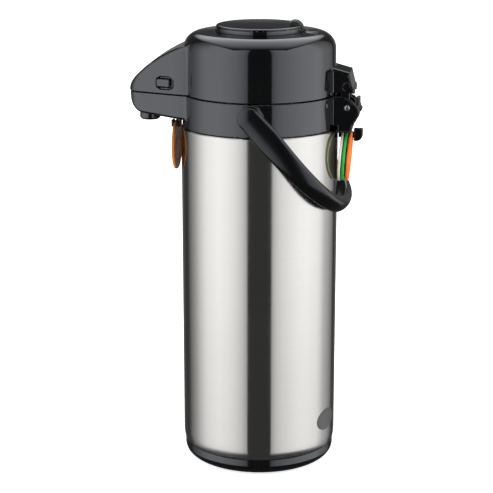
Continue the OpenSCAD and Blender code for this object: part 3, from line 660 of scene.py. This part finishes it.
def build_lid():
    lowest, highest = low("lid_shell"), high("lid_shell")
    show(moulded("lid", lid_field, lowest, highest), "lid_shell", "black_plastic")


# ---------------------------------------------------------------- shoulder

def bracket_outline(inset):
    y, z = pin.y, pin.z
    return [
        (casing_r + 0.6, bracket_z + inset), (y + 4.2 - inset, bracket_z + inset),
        (y + 5.3 - inset, shoulder_z + 3), (y + 8.4 - inset, z - 11.5),
        (y + 11.2 - inset, z - 6.5), (y + 11.3 - inset, z - 3), (y + 10.4 - inset, z - 0.5),
        (y + 5.2 - inset, z + 6 - inset), (y - 3, seam_z - seam_gap - inset),
        (casing_r - 4, seam_z - seam_gap - inset), (casing_r - 4, shoulder_z + 3),
        (casing_r + 0.6, shoulder_z + 3),
    ]


def bracket(x, y, z):
    """Two cheeks with a raised rim, a rear wall and the posts beside the release."""
    width = np.abs(x)
    shape = outline(y, z, bracket_outline(0))
    cheeks = blend_max(shape, slab(width, 15, bracket_w), 1.0)
    pocket = np.maximum(outline(y, z, bracket_outline(1.4)), bracket_w - 0.4 - width)
    cheeks = blend_max(cheeks, -pocket, 0.5)
    slot_z = pin.z - 8
    wall_low = brick(x, y, z, (-15.5, casing_r, bracket_z - 2), (15.5, pin.y + 12, slot_z))
    posts = brick(width, y, z, (6.5, pin.y, slot_z - 0.5), (12.4, pin.y + 12, pin.z + 6.5))
    inner = outline(y, z, [
        (casing_r - 4, bracket_z + 2.4), (pin.y + 1.5, bracket_z + 2.4), (pin.y + 3.4, shoulder_z + 6),
        (pin.y + 6.4, shoulder_z + 9), (pin.y + 7.6, pin.z - 7), (pin.y + 7.6, seam_z),
        (casing_r - 4, seam_z),
    ])
    rear = np.maximum(union(wall_low, posts), shape)
    rear = np.maximum(rear, -np.maximum(inner, width - 15))
    return union(cheeks, rear)


def rear_hook(x, y, z):
    peg_z = shoulder_z - 8
    stem_y = casing_r + 0.7
    block_y = anchor("orange_tag_swing").y + 2.2
    stem = brick(x, y, z, (-3, stem_y, peg_z - tag_peg_r), (3, stem_y + 1.8, shoulder_z + 1), 0.5)
    peg = rod(np.hypot(x, z - peg_z), y, tag_peg_r, stem_y + 1, block_y + 1)
    block = outline(y, z, [(block_y, peg_z - 5.5)]
                    + arc((block_y + 2.4, peg_z + 0.5), 6, -90, 0, 6)
                    + [(block_y + 8.4, peg_z + 5), (block_y + 7.6, peg_z + 6.2), (block_y, peg_z + 6)])
    block = blend_max(block, np.abs(x) - 4, 1.2)
    return union(stem, peg, block)


def front_hook(x, y, z):
    peg_z = shoulder_z - 1
    tag_y = anchor("front_tag_swing").y
    stem_y, block_y = tag_y + 2, tag_y - 2
    stem = brick(x, y, z, (-4, stem_y, peg_z - 3.4), (4, stem_y + 2.4, seam_z - 20), 0.7)
    peg = rod(np.hypot(x, z - peg_z), y, tag_peg_r, block_y - 1, stem_y + 1)
    block = brick(x, y, z, (-4, block_y - 2.6, peg_z - 3.4), (4, block_y, peg_z + 3.4), 1.0)
    return union(stem, peg, block)


def shoulder_field(x, y, z):
    r = np.hypot(x, y)
    under = beak_under(x, y, z)
    top = z - (seam_z - seam_gap)
    ring = np.maximum(slab(r, shoulder_r - wall, shoulder_r), shoulder_z - z)
    body = blend_min(ring, np.maximum(under, shoulder_r - wall - r), 2.5)
    trough = np.maximum(under + wall, pin.z - 11 - z)
    body = np.maximum(body, -trough)
    body = blend_max(body, top, 0.7)
    foot = brick(r, r * 0, z, (casing_r - 5, -9, shoulder_z - 0.4),
                 (casing_r - 2.6, 9, shoulder_z + 4), 0.3)
    # sloping deck round the neck, with its collar
    share = (shoulder_r - wall - r) / (shoulder_r - wall - 37)
    deck_z = shoulder_z + 4.4 + 12.9 * share
    deck = np.maximum(np.abs(z - deck_z) * 0.93 - 0.9, slab(r, 37, shoulder_r - 1))
    collar = np.maximum(slab(r, 37, 39.2), slab(z, shoulder_z + 15.5, neck_z + 4.5))
    way_out = brick(x, y, z, (-4.8, -44, seam_z - 12), (4.8, -30, seam_z + 2), 0.4)
    collar = np.maximum(collar, -way_out)
    ribs = brick(np.abs(x), y, z, (12, nose_y - 0.5, pin.z - 11), (18, nose_y + 2.5, seam_z - 2.3), 0.3)
    ribs = np.maximum(ribs, under + 1)
    bosses = rod(np.hypot(y - pivot.y, z - pivot.z), np.abs(x), 11.5, 66, 73.8, 1.2)
    solid = union(body, foot, deck, collar, ribs, bosses, bracket(x, y, z), rear_hook(x, y, z),
                  front_hook(x, y, z))
    bore = np.maximum(np.hypot(y - pivot.y, z - pivot.z) - 7.05, slab(np.abs(x), 62, 76))
    spout = np.maximum(np.hypot(x, y - nose_y) - 9.6, z - shoulder_z - 16)
    hinge = np.hypot(y - pin.y, z - pin.z) - pin_bore
    cut = union(bore, spout, np.maximum(hinge, np.abs(x) - 20))
    return np.maximum(solid, -cut)


def build_shoulder():
    lowest, highest = low("shoulder"), high("shoulder")
    show(moulded("shoulder", shoulder_field, lowest, highest), "shoulder", "black_plastic")


# ---------------------------------------------------------------- handle

# half of the strap's width at distances from the pivot
STRAP = ((0, 10.5), (25, 11.4), (60, 9.7), (112, 7.2), (125, 6.9))


def bail(width, past, half_w, reach):
    """Distance to a bend between an ellipse and a square, seen from above."""
    power = 2 / 0.77
    a, b = width / half_w, past / reach
    e = (a ** power + b ** power) ** (1 / power) + 1e-9
    steep = np.hypot(a ** (power - 1) / half_w, b ** (power - 1) / reach) / e ** (power - 1) + 1e-9
    return (e - 1) / steep


def handle_field(x, s, n):
    """The bail in its own frame: s runs from the pivot to the grip, n across the strap."""
    width = np.abs(x)
    half = np.interp(s, *zip(*STRAP))
    v = np.where(s > 0, n, np.hypot(s, n))
    band = np.abs(v) - half
    bulge = 1.8 * (v / half) ** 2
    past = np.maximum(s - 30, 0)
    outer = bail(width, past, 80, 92.7) + bulge
    inner = bail(width, past, 74, 81.7)
    strap = blend_max(blend_max(outer, -inner, 1.6), band, 2.4)
    peg = rod(np.hypot(s, n), width, 7, 65.5, 75.5, 0.8)
    body = blend_min(strap, peg, 1.0)
    screw = np.maximum(np.hypot(s, n) - 1.95, width - 75)
    body = np.maximum(body, -screw)
    c, d = math.cos(handle_rest), math.sin(handle_rest)
    y, z = s * c + n * d, pivot.z - s * d + n * c
    clear = np.minimum(casing_r + 0.8 - np.hypot(x, y), pivot.z - 30 - z)
    return blend_max(body, clear, 1.0)


def build_handle():
    place = Matrix.Translation(pivot) @ Matrix.Rotation(-handle_rest, 4, "X")
    obj = moulded("bail", handle_field, (-80, -12, -12), (80, 123, 12), 0.9, place)
    show(obj, "handle", "black_satin")


# ---------------------------------------------------------------- button and its lock slide

def button_field(x, y, z):
    r = np.hypot(x, y)
    crown = button_z + 0.55 * (1 - (r / button_r) ** 2)
    cap = blend_max(np.maximum(z - crown, button_z - 2.5 - z), r - button_r, 2.2)
    skirt = np.maximum(slab(r, button_r - 2, button_r), slab(z, button_z - 18.6, button_z - 1.8))
    ribs = union(brick(x, y, z, (-26, -1, top_z - 3), (26, 1, button_z - 2), 0.2),
                 brick(x, y, z, (-1, -26, top_z - 3), (1, 26, button_z - 2), 0.2))
    body = union(cap, skirt, ribs,
                 brick(x, y, z, (-9, 26, lock_z - 2), (9, button_r - 3, button_z - 2), 0.3))
    track = brick(x, y, z, (-7.1, 26.9, lock_z), (7.1, button_r + 3, button_z + 5), 0.3)
    stem = brick(x, y, z, (-3.1, lock_stem_y - 0.1, lock_z - 3), (3.1, lock_stem_y + 7.1, button_z), 0.2)
    return np.maximum(body, -union(track, stem))


def build_button():
    obj = moulded("button", button_field, low("push_button"), high("push_button"), 0.7)
    show(obj, "push_button", "black_plastic")


def lock_field(x, y, z):
    back = button_r - 0.9
    floor = lock_z + 0.1
    side = outline(y, z, [(back, floor), (back, floor + 1.2)]
                   + arc((back - 7.4, button_z - 3.6), 7.9, 20, 125, 8)
                   + [(27, button_z + 2), (27, floor)])
    grip = 0.25 * np.maximum(np.sin((y - 28) * 2 * math.pi / 2.2), 0)
    hump = blend_max(side + np.where(z > button_z - 1, grip, 0), np.abs(x) - 7, 1.3)
    front, bottom = lock_stem_y, lock_z - 3.6
    stem = brick(x, y, z, (-3, front, bottom), (3, front + 3, floor + 1), 0.3)
    toe = brick(x, y, z, (-4.5, front, bottom), (4.5, front + 3, bottom + 1.5), 0.3)
    return union(hump, stem, toe)


def build_lock():
    obj = moulded("lock_slide", lock_field, low("lock_slider"), high("lock_slider"), FINE)
    show(obj, "lock_slider", "black_matt")


# ---------------------------------------------------------------- latch, release, pin, nozzle

def latch_field(x, y, z):
    plan = beak_plan(x, y) - 1.2
    low_z, high_z = latch_z - latch_half, latch_z + latch_half
    tab = brick(x, y, z, (-40, latch_front, low_z), (40, latch_back, high_z), 1.6)
    bar = blend_max(tab, plan, 1.8)
    width = np.abs(x)
    hook_y = nose_y + 2.6
    legs = union(brick(width, y, z, (12.2, hook_y, seam_z - 7), (15.6, hook_y + 3, latch_z), 0.4),
                 brick(width, y, z, (12.2, hook_y, low_z), (15.6, latch_front + 1, latch_z), 0.4))
    stub = rod(np.hypot(x, z - latch_z), y, 1.6, latch_back - 0.1, latch_back + 3)
    # guards inside the lid that close the slot behind and in front of the bar
    low_z, high_z = latch_z - guard_half, latch_z + guard_half
    rear = brick(width, y, z, (6, latch_back - 1, low_z), (24, latch_back + 4.4, high_z), 0.6)
    front = brick(width, y, z, (6, latch_front - 4, low_z), (17.5, latch_front + 1, high_z), 0.6)
    return union(bar, legs, stub, rear, front)


def build_latch():
    highest = high("latch_bar") + Vector((0, 1.6, 1.4))
    obj = moulded("latch", latch_field, low("latch_bar"), highest, FINE)
    show(obj, "latch_bar", "black_plastic")


def release_field(x, y, z):
    wall_y = pin.y + 7.6
    tab = brick(x, y, z, (-6, wall_y - 0.3, pin.z - 4.5), (6, pin.y + 11, pin.z + 8), 0.9)
    flange = brick(x, y, z, (-8.2, wall_y - 1.2, pin.z - 2.5), (8.2, wall_y - 0.2, pin.z + 6), 0.3)
    knob = rod(np.hypot(y - pin.y - 11, z - pin.z + 2.8), x, 1.9, -6, 6, 0.8)
    grooves = np.maximum(np.sin((z - pin.z) * 2 * math.pi / 2.4), 0) * 0.3
    tab = tab + np.where((y > pin.y + 10) & (z > pin.z), grooves, 0)
    return union(blend_min(tab, knob, 0.8), flange)


def build_release():
    obj = moulded("release", release_field, low("hinge_release"), high("hinge_release"), FINE)
    show(obj, "hinge_release", "black_matt")


def build_pin():
    half = high("hinge_pin").x
    radius = pin_bore - 0.05
    profile = soften([(0, -half), (radius, -half), (radius, half), (0, half)], 0.6)
    obj = turned("pin", profile, segments=64)
    obj.data.transform(Matrix.Translation(pin * MM) @ Matrix.Rotation(math.pi / 2, 4, "Y"))
    show(obj, "hinge_pin", "pin_steel")


def build_nozzle():
    bottom = low("nozzle").z
    top = high("nozzle").z
    profile = [
        (4.05, bottom + 4.5), (7.4, bottom), (7.9, bottom), (9.5, bottom + 1.6), (9.5, top), (4.05, top),
    ]
    obj = turned("nozzle_tip", soften(profile, 0.8), (0, nose_y), 96)
    show(obj, "nozzle", "black_plastic")


# ---------------------------------------------------------------- casing and base

def build_casing():
    rim = [(casing_r - 1.1, base_h), (casing_r - 0.5, base_h + 2.5), (casing_r, base_h + 7.5)]
    shelf_z = shoulder_z - 0.4
    top = arc((casing_r - 2.2, shelf_z - 2.2), 2.2, 0, 90, 6) + [
        (casing_r - 5.5, shelf_z), (32.5, shoulder_z + 12.6), (31.9, shoulder_z + 14), (31.9, neck_z)]
    rise = [(casing_r, z) for z in np.linspace(base_h + 12, shelf_z - 6, 24)]
    outside = rim + rise + top
    inside = [(r - 0.8, z - 0.8 * (z > shelf_z - 1) * (z < neck_z)) for r, z in reversed(outside)]
    show(turned("casing_skin", outside + inside, segments=384), "casing", "brushed_steel")


def build_base():
    edge_r = high("base_cup").x
    flat_r = casing_r - 10.8
    floor_z = low("base_cup").z
    round_r = edge_r - flat_r
    spigot_r = casing_r - 2.1
    outside = [(0, 1.8), (60.1, 1.8), (60.1, floor_z)]
    outside += arc((flat_r, floor_z + round_r), round_r, -90, 0, 14)
    outside += [(edge_r, base_h - 0.9), (edge_r - 0.6, base_h - 0.3), (spigot_r, base_h - 0.3),
                (spigot_r, base_h + 6)]
    inside = [(spigot_r - wall, base_h + 6), (spigot_r - wall, floor_z + round_r),
              (flat_r - 2, floor_z + wall), (0, floor_z + wall)]
    show(turned("base", outside + inside, segments=256), "base_cup", "black_plastic")


def build_badge():
    """A plain oval plate with a raised rim, curved to the casing."""
    centre_z = (low("badge").z + high("badge").z) / 2
    angle = math.radians(68)
    half_w, half_h = 15.0, 10.0
    rings = [(0.0, 0.32), (0.5, 0.32), (0.80, 0.32), (0.84, 0.36), (0.88, 0.50), (0.96, 0.50),
             (1.0, 0.30), (1.0, 0.02)]
    count = 96
    points = []
    for share, height in rings:
        for i in range(count):
            t = 2 * math.pi * i / count
            u, v = half_w * share * math.cos(t), half_h * share * math.sin(t)
            a = angle + u / casing_r
            r = casing_r + height
            points.append((r * math.cos(a), r * math.sin(a), centre_z + v))
    faces = []
    for k in range(len(rings) - 1):
        for i in range(count):
            j = (i + 1) % count
            faces.append((k * count + i, (k + 1) * count + i, (k + 1) * count + j, k * count + j))
    back = (len(rings) - 1) * count
    faces.append(tuple(back + i for i in range(count)))
    obj = add_object("oval_badge", np.array(points), faces)
    work = bmesh.new()
    work.from_mesh(obj.data)
    bmesh.ops.remove_doubles(work, verts=work.verts, dist=1e-6)
    bmesh.ops.recalc_face_normals(work, faces=work.faces)
    work.to_mesh(obj.data)
    work.free()
    smooth(obj)
    show(obj, "badge", "badge_grey")


# ---------------------------------------------------------------- tags

def tag_field(x, y, z):
    """A round tag in its own frame, hole at the origin and its disc below, y through its thickness."""
    drop, radius, half_t = tag_r - 4, tag_r, 1.3
    from_middle = np.hypot(x, z + drop)
    disc = blend_max(from_middle - radius, np.abs(y) - half_t, 0.9)
    dish = np.hypot(x, z + drop + 4) - 16.5
    disc = blend_max(disc, -np.maximum(dish, half_t - 0.4 - np.abs(y)), 0.4)
    ridge = np.abs(np.hypot(x, z + drop + 4) - 11) - 0.5
    disc = union(disc, blend_max(ridge, np.abs(y) - half_t + 0.1, 0.4))
    return blend_max(disc, 3.7 - np.hypot(x, z), 0.5)


def build_tags():
    points, normals, quads = surface_net(tag_field, (-tag_r, -1.3, 4 - 2 * tag_r), (tag_r, 1.3, 4), FINE)
    for node in ("tag_front", "tag_white", "tag_green", "tag_orange"):
        hole = anchor(joint_of(node))
        place = Matrix.Translation(hole)
        if node != "tag_front":
            place = place @ Matrix.Rotation(math.radians(-4.2), 4, "X")
        place = place @ Matrix.Translation((0, 0, -tag_hang))
        obj = add_object(node + "_disc", points, quads, place)
        obj.data.shade_smooth()
        turned_normals = normals @ np.array(place.to_3x3()).T
        obj.data.normals_split_custom_set_from_vertices(turned_normals.tolist())
        finish = "tag_brown" if node == "tag_front" else node
        show(obj, node, finish)


def joint_of(node):
    return next(j["name"] for j in frame["joints"] if j["child"] == body_of(node))


# ---------------------------------------------------------------- bellows and springs

def build_bellows():
    bottom, top = low("bellows").z, high("bellows").z
    outer, inner = 36.0, 30.0
    folds = 6
    profile = [(inner - 1, bottom), (outer - 1.4, bottom), (outer - 1.4, bottom + 1.2),
               (inner, bottom + 1.2)]
    pleats = [((inner if i % 2 == 0 else outer), bottom + 4 + (top - bottom - 5) * i / (2 * folds))
              for i in range(2 * folds + 1)]
    inside = [(r - 1, z) for r, z in reversed(pleats)]
    profile = soften(profile + pleats + [(inner, top), (inner - 2, top)] + inside, 0.8, 3)
    obj = show(turned("bellows_folds", profile, segments=96), "bellows", "silicone")
    squash_down(obj)


def squash_down(obj):
    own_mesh(obj)


def coil(name, radius, wire, length, turns):
    """A helical spring along +Z from the origin, with closed ends."""
    steps, sides = 28 * turns, 10
    closing = 1 / turns
    flat = 2.2 * wire / length
    points = []
    for i in range(steps + 1):
        t = i / steps
        ease = np.interp(t, (0, closing, 1 - closing, 1), (0, flat, 1 - flat, 1))
        a = 2 * math.pi * turns * t
        for j in range(sides):
            b = 2 * math.pi * j / sides
            d = radius + wire * math.cos(b)
            z = wire + (length - 2 * wire) * ease + wire * math.sin(b)
            points.append((d * math.cos(a), d * math.sin(a), z))
    faces = [tuple(reversed(range(sides))), tuple(steps * sides + j for j in range(sides))]
    for i in range(steps):
        for j in range(sides):
            k = (j + 1) % sides
            faces.append((i * sides + j, i * sides + k, (i + 1) * sides + k, (i + 1) * sides + j))
    obj = add_object(name, np.array(points), faces)
    smooth(obj, 60)
    return obj


def build_springs():
    bottom, top = low("button_spring").z, high("button_spring").z
    obj = coil("pump_spring", 14, 0.9, top - bottom, 8)
    obj.data.transform(Matrix.Translation((0, 0, bottom * MM)))
    show(obj, "button_spring", "spring_steel")
    squash_down(obj)
    front, back = low("latch_spring").y, high("latch_spring").y
    obj = coil("small_spring", 2.8, 0.45, back - front, 7)
    place = Matrix.Translation((0, front * MM, latch_z * MM))
    obj.data.transform(place @ Matrix.Rotation(-math.pi / 2, 4, "X"))
    show(obj, "latch_spring", "spring_steel")
    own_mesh(obj)


# ---------------------------------------------------------------- pieces kept from the frame

KEPT = {
    "foot_pad": "foot_rubber", "casing_bottom": "plain_steel", "vacuum_plug": "plain_steel",
    "liner": "plain_steel", "neck_gasket": "silicone", "stopper": "natural_plastic",
    "stopper_gasket": "silicone", "valve_cage": "natural_plastic", "tip_valve_ball": "plain_steel",
    "dip_tube": "plain_steel", "pipe_seal": "silicone", "discharge_pipe": "plain_steel",
    "lid_plate": "black_matt", "lid_screws": "plain_steel", "bellows_ring": "natural_plastic",
    "air_seal": "silicone", "check_valve": "silicone", "pusher_plate": "natural_plastic",
    "intake_valve": "silicone", "handle_washers": "plain_steel", "handle_screws": "plain_steel",
}


def dress_frame():
    for node, finish in KEPT.items():
        obj = frame["nodes"][node]
        obj.data.materials.clear()
        obj.data.materials.append(finishes[finish])
        weld = obj.modifiers.new("weld", "WELD")
        weld.merge_threshold = 1e-5
        bevel = obj.modifiers.new("bevel", "BEVEL")
        bevel.width = 0.25 * MM
        bevel.segments = 2
        bevel.angle_limit = math.radians(40)


# ---------------------------------------------------------------- studio

VIEW_TURN = math.radians(97.5)
VIEW_BACK = Vector((math.sin(VIEW_TURN), -math.cos(VIEW_TURN), 0))
VIEW_RIGHT = Vector((math.cos(VIEW_TURN), math.sin(VIEW_TURN), 0))


def glowing_sheet(name, points, faces, share, strength):
    """A light made of a mesh. Its brightness at each point is strength times share."""
    mesh = bpy.data.meshes.new(name)
    mesh.from_pydata([tuple(p) for p in points], [], faces)
    mesh.attributes.new("share", "FLOAT", "POINT").data.foreach_set("value", share)
    material = bpy.data.materials.new(name)
    material.use_nodes = True
    material.node_tree.nodes.clear()
    n = Nodes(material.node_tree)
    tone = n.add("ShaderNodeAttribute")
    tone.attribute_name = "share"
    glow = n.add("ShaderNodeEmission", Color=tone.outputs["Fac"], Strength=strength)
    n.add("ShaderNodeOutputMaterial", Surface=glow.outputs[0])
    mesh.materials.append(material)
    obj = bpy.data.objects.new(name, mesh)
    bpy.context.scene.collection.objects.link(obj)
    obj.visible_camera = False
    obj.visible_shadow = False


# brightness of the side sheets at directions in degrees to the right of the camera
LEFT_SHEET = ((-132, 0.03), (-125, 0.12), (-116, 0.24), (-108, 0.36), (-98, 0.6), (-85, 0.86), (-63, 1.0),
              (-48, 0.93), (-38, 0.84), (-28, 0.68), (-18, 0.4))
RIGHT_SHEET = ((17, 0.35), (19, 0.45), (24, 0.62), (33, 0.76), (47, 0.88), (60, 0.97), (74, 1.0), (95, 0.9),
               (103, 0.72), (110, 0.5), (125, 0.3), (136, 0.15), (142, 0.02))
# and of the overhead sheet at distances in front of the pot, in metres
TOP_SHEET = ((-4.6, 0.25), (-3.0, 0.6), (-1.8, 1.0), (-0.6, 1.0), (0.17, 0.8), (0.56, 0.45), (1.05, 0.08),
             (1.3, 0.0))


def side_light(name, profile, strength):
    """A curved softbox round the pot, dimmer towards its foot."""
    radius = 2.2
    steps = 48
    turns, tones = zip(*profile)
    levels = ((-1.3, 0.8), (-0.75, 0.84), (-0.3, 1.0), (2.9, 1.0))
    points, share, faces = [], [], []
    for i in range(steps + 1):
        turn = turns[0] + (turns[-1] - turns[0]) * i / steps
        tone = np.interp(turn, turns, tones)
        a = math.radians(turn)
        spot = (VIEW_BACK * math.cos(a) + VIEW_RIGHT * math.sin(a)) * radius
        for height, fade in levels:
            points.append(spot + Vector((0, 0, height)))
            share.append(tone * fade)
    rows = len(levels)
    for i in range(steps):
        for j in range(rows - 1):
            k = i * rows + j
            faces.append((k, k + 1, k + rows + 1, k + rows))
    glowing_sheet(name, points, faces, share, strength)


def top_light(name, profile, half_x, strength):
    """A flat softbox overhead, brightest behind the pot and dimmer at its sides."""
    points, share, faces = [], [], []
    across = ((-1.0, 0.0), (-0.75, 0.7), (-0.5, 1.0), (0.5, 1.0), (0.75, 0.7), (1.0, 0.0))
    for forward, tone in profile:
        for side, fade in across:
            points.append(Vector((0, 0, 1.75)) + VIEW_BACK * forward + VIEW_RIGHT * half_x * side)
            share.append(tone * fade)
    columns = len(across)
    for i in range(len(profile) - 1):
        for j in range(columns - 1):
            k = i * columns + j
            faces.append((k, k + 1, k + columns + 1, k + columns))
    glowing_sheet(name, points, faces, share, strength)


AMBIENT = 0.07              # light from all round
BACKDROP = 0.13             # and from low behind the pot


def build_world():
    """White to the camera; dim round the pot, with a low light backdrop behind it."""
    world = bpy.data.worlds.new("studio")
    bpy.context.scene.world = world
    world.use_nodes = True
    world.node_tree.nodes.clear()
    n = Nodes(world.node_tree)
    towards = n.add("ShaderNodeTexCoord").outputs["Generated"]
    dot = n.add("ShaderNodeVectorMath")
    dot.operation = "DOT_PRODUCT"
    n.put(dot, 0, towards)
    n.put(dot, 1, -VIEW_BACK)
    edge, full = math.cos(math.radians(36)), math.cos(math.radians(18))
    behind = n.ranged(dot.outputs["Value"], edge, full, 0.0, BACKDROP)
    height = n.add("ShaderNodeSeparateXYZ", Vector=towards).outputs["Z"]
    lit, dark = math.sin(math.radians(4.5)), math.sin(math.radians(6.5))
    low_down = n.ranged(height, lit, dark, 1.0, 0.0)
    glow = n.math("ADD", n.math("MULTIPLY", behind, low_down), AMBIENT)
    dim = n.add("ShaderNodeBackground", Color=glow)
    white = n.add("ShaderNodeBackground", Color=(1, 1, 1, 1))
    pick = n.add("ShaderNodeMixShader")
    n.put(pick, 0, n.add("ShaderNodeLightPath").outputs["Is Camera Ray"])
    n.put(pick, 1, dim.outputs[0])
    n.put(pick, 2, white.outputs[0])
    n.add("ShaderNodeOutputWorld", Surface=pick.outputs[0])


def build_floor():
    mesh = bpy.data.meshes.new("floor")
    reach = 40
    mesh.from_pydata([(-reach, -reach, 0), (reach, -reach, 0), (reach, reach, 0), (-reach, reach, 0)], [],
                     [(0, 1, 2, 3)])
    p = Paint("floor")
    tone = p.mix(p.noise(3, 3), grey(0.93), grey(0.96))
    mesh.materials.append(p.finish(
        Base_Color=tone, Roughness=p.ranged(p.noise(8, 3), 0.3, 0.7, 0.7, 0.85),
        Emission_Color=grey(1.0), Emission_Strength=0.72))
    obj = bpy.data.objects.new("floor", mesh)
    bpy.context.scene.collection.objects.link(obj)
    obj.visible_glossy = False


def build_camera():
    data = bpy.data.cameras.new("camera")
    data.lens = 116.1
    data.sensor_width = 36
    data.clip_end = 100
    camera = bpy.data.objects.new("camera", data)
    bpy.context.scene.collection.objects.link(camera)
    pitch = math.radians(15.08)
    camera.location = VIEW_BACK * 1.440 + Vector((0, 0, 0.5901)) - VIEW_RIGHT * 0.0121
    look = -VIEW_BACK * math.cos(pitch) - Vector((0, 0, 1)) * math.sin(pitch)
    camera.rotation_euler = look.to_track_quat("-Z", "Y").to_euler()
    bpy.context.scene.camera = camera


def build_studio():
    side_light("left_softbox", LEFT_SHEET, 2.35)
    side_light("right_softbox", RIGHT_SHEET, 2.35)
    top_light("top_softbox", TOP_SHEET, 1.3, 2.2)
    build_world()
    build_floor()
    build_camera()
    bpy.context.scene.view_settings.view_transform = "Standard"


build_base()
build_casing()
build_badge()
build_shoulder()
build_lid()
build_handle()
build_button()
build_lock()
build_latch()
build_release()
build_pin()
build_nozzle()
build_tags()
build_bellows()
build_springs()
dress_frame()
build_studio()
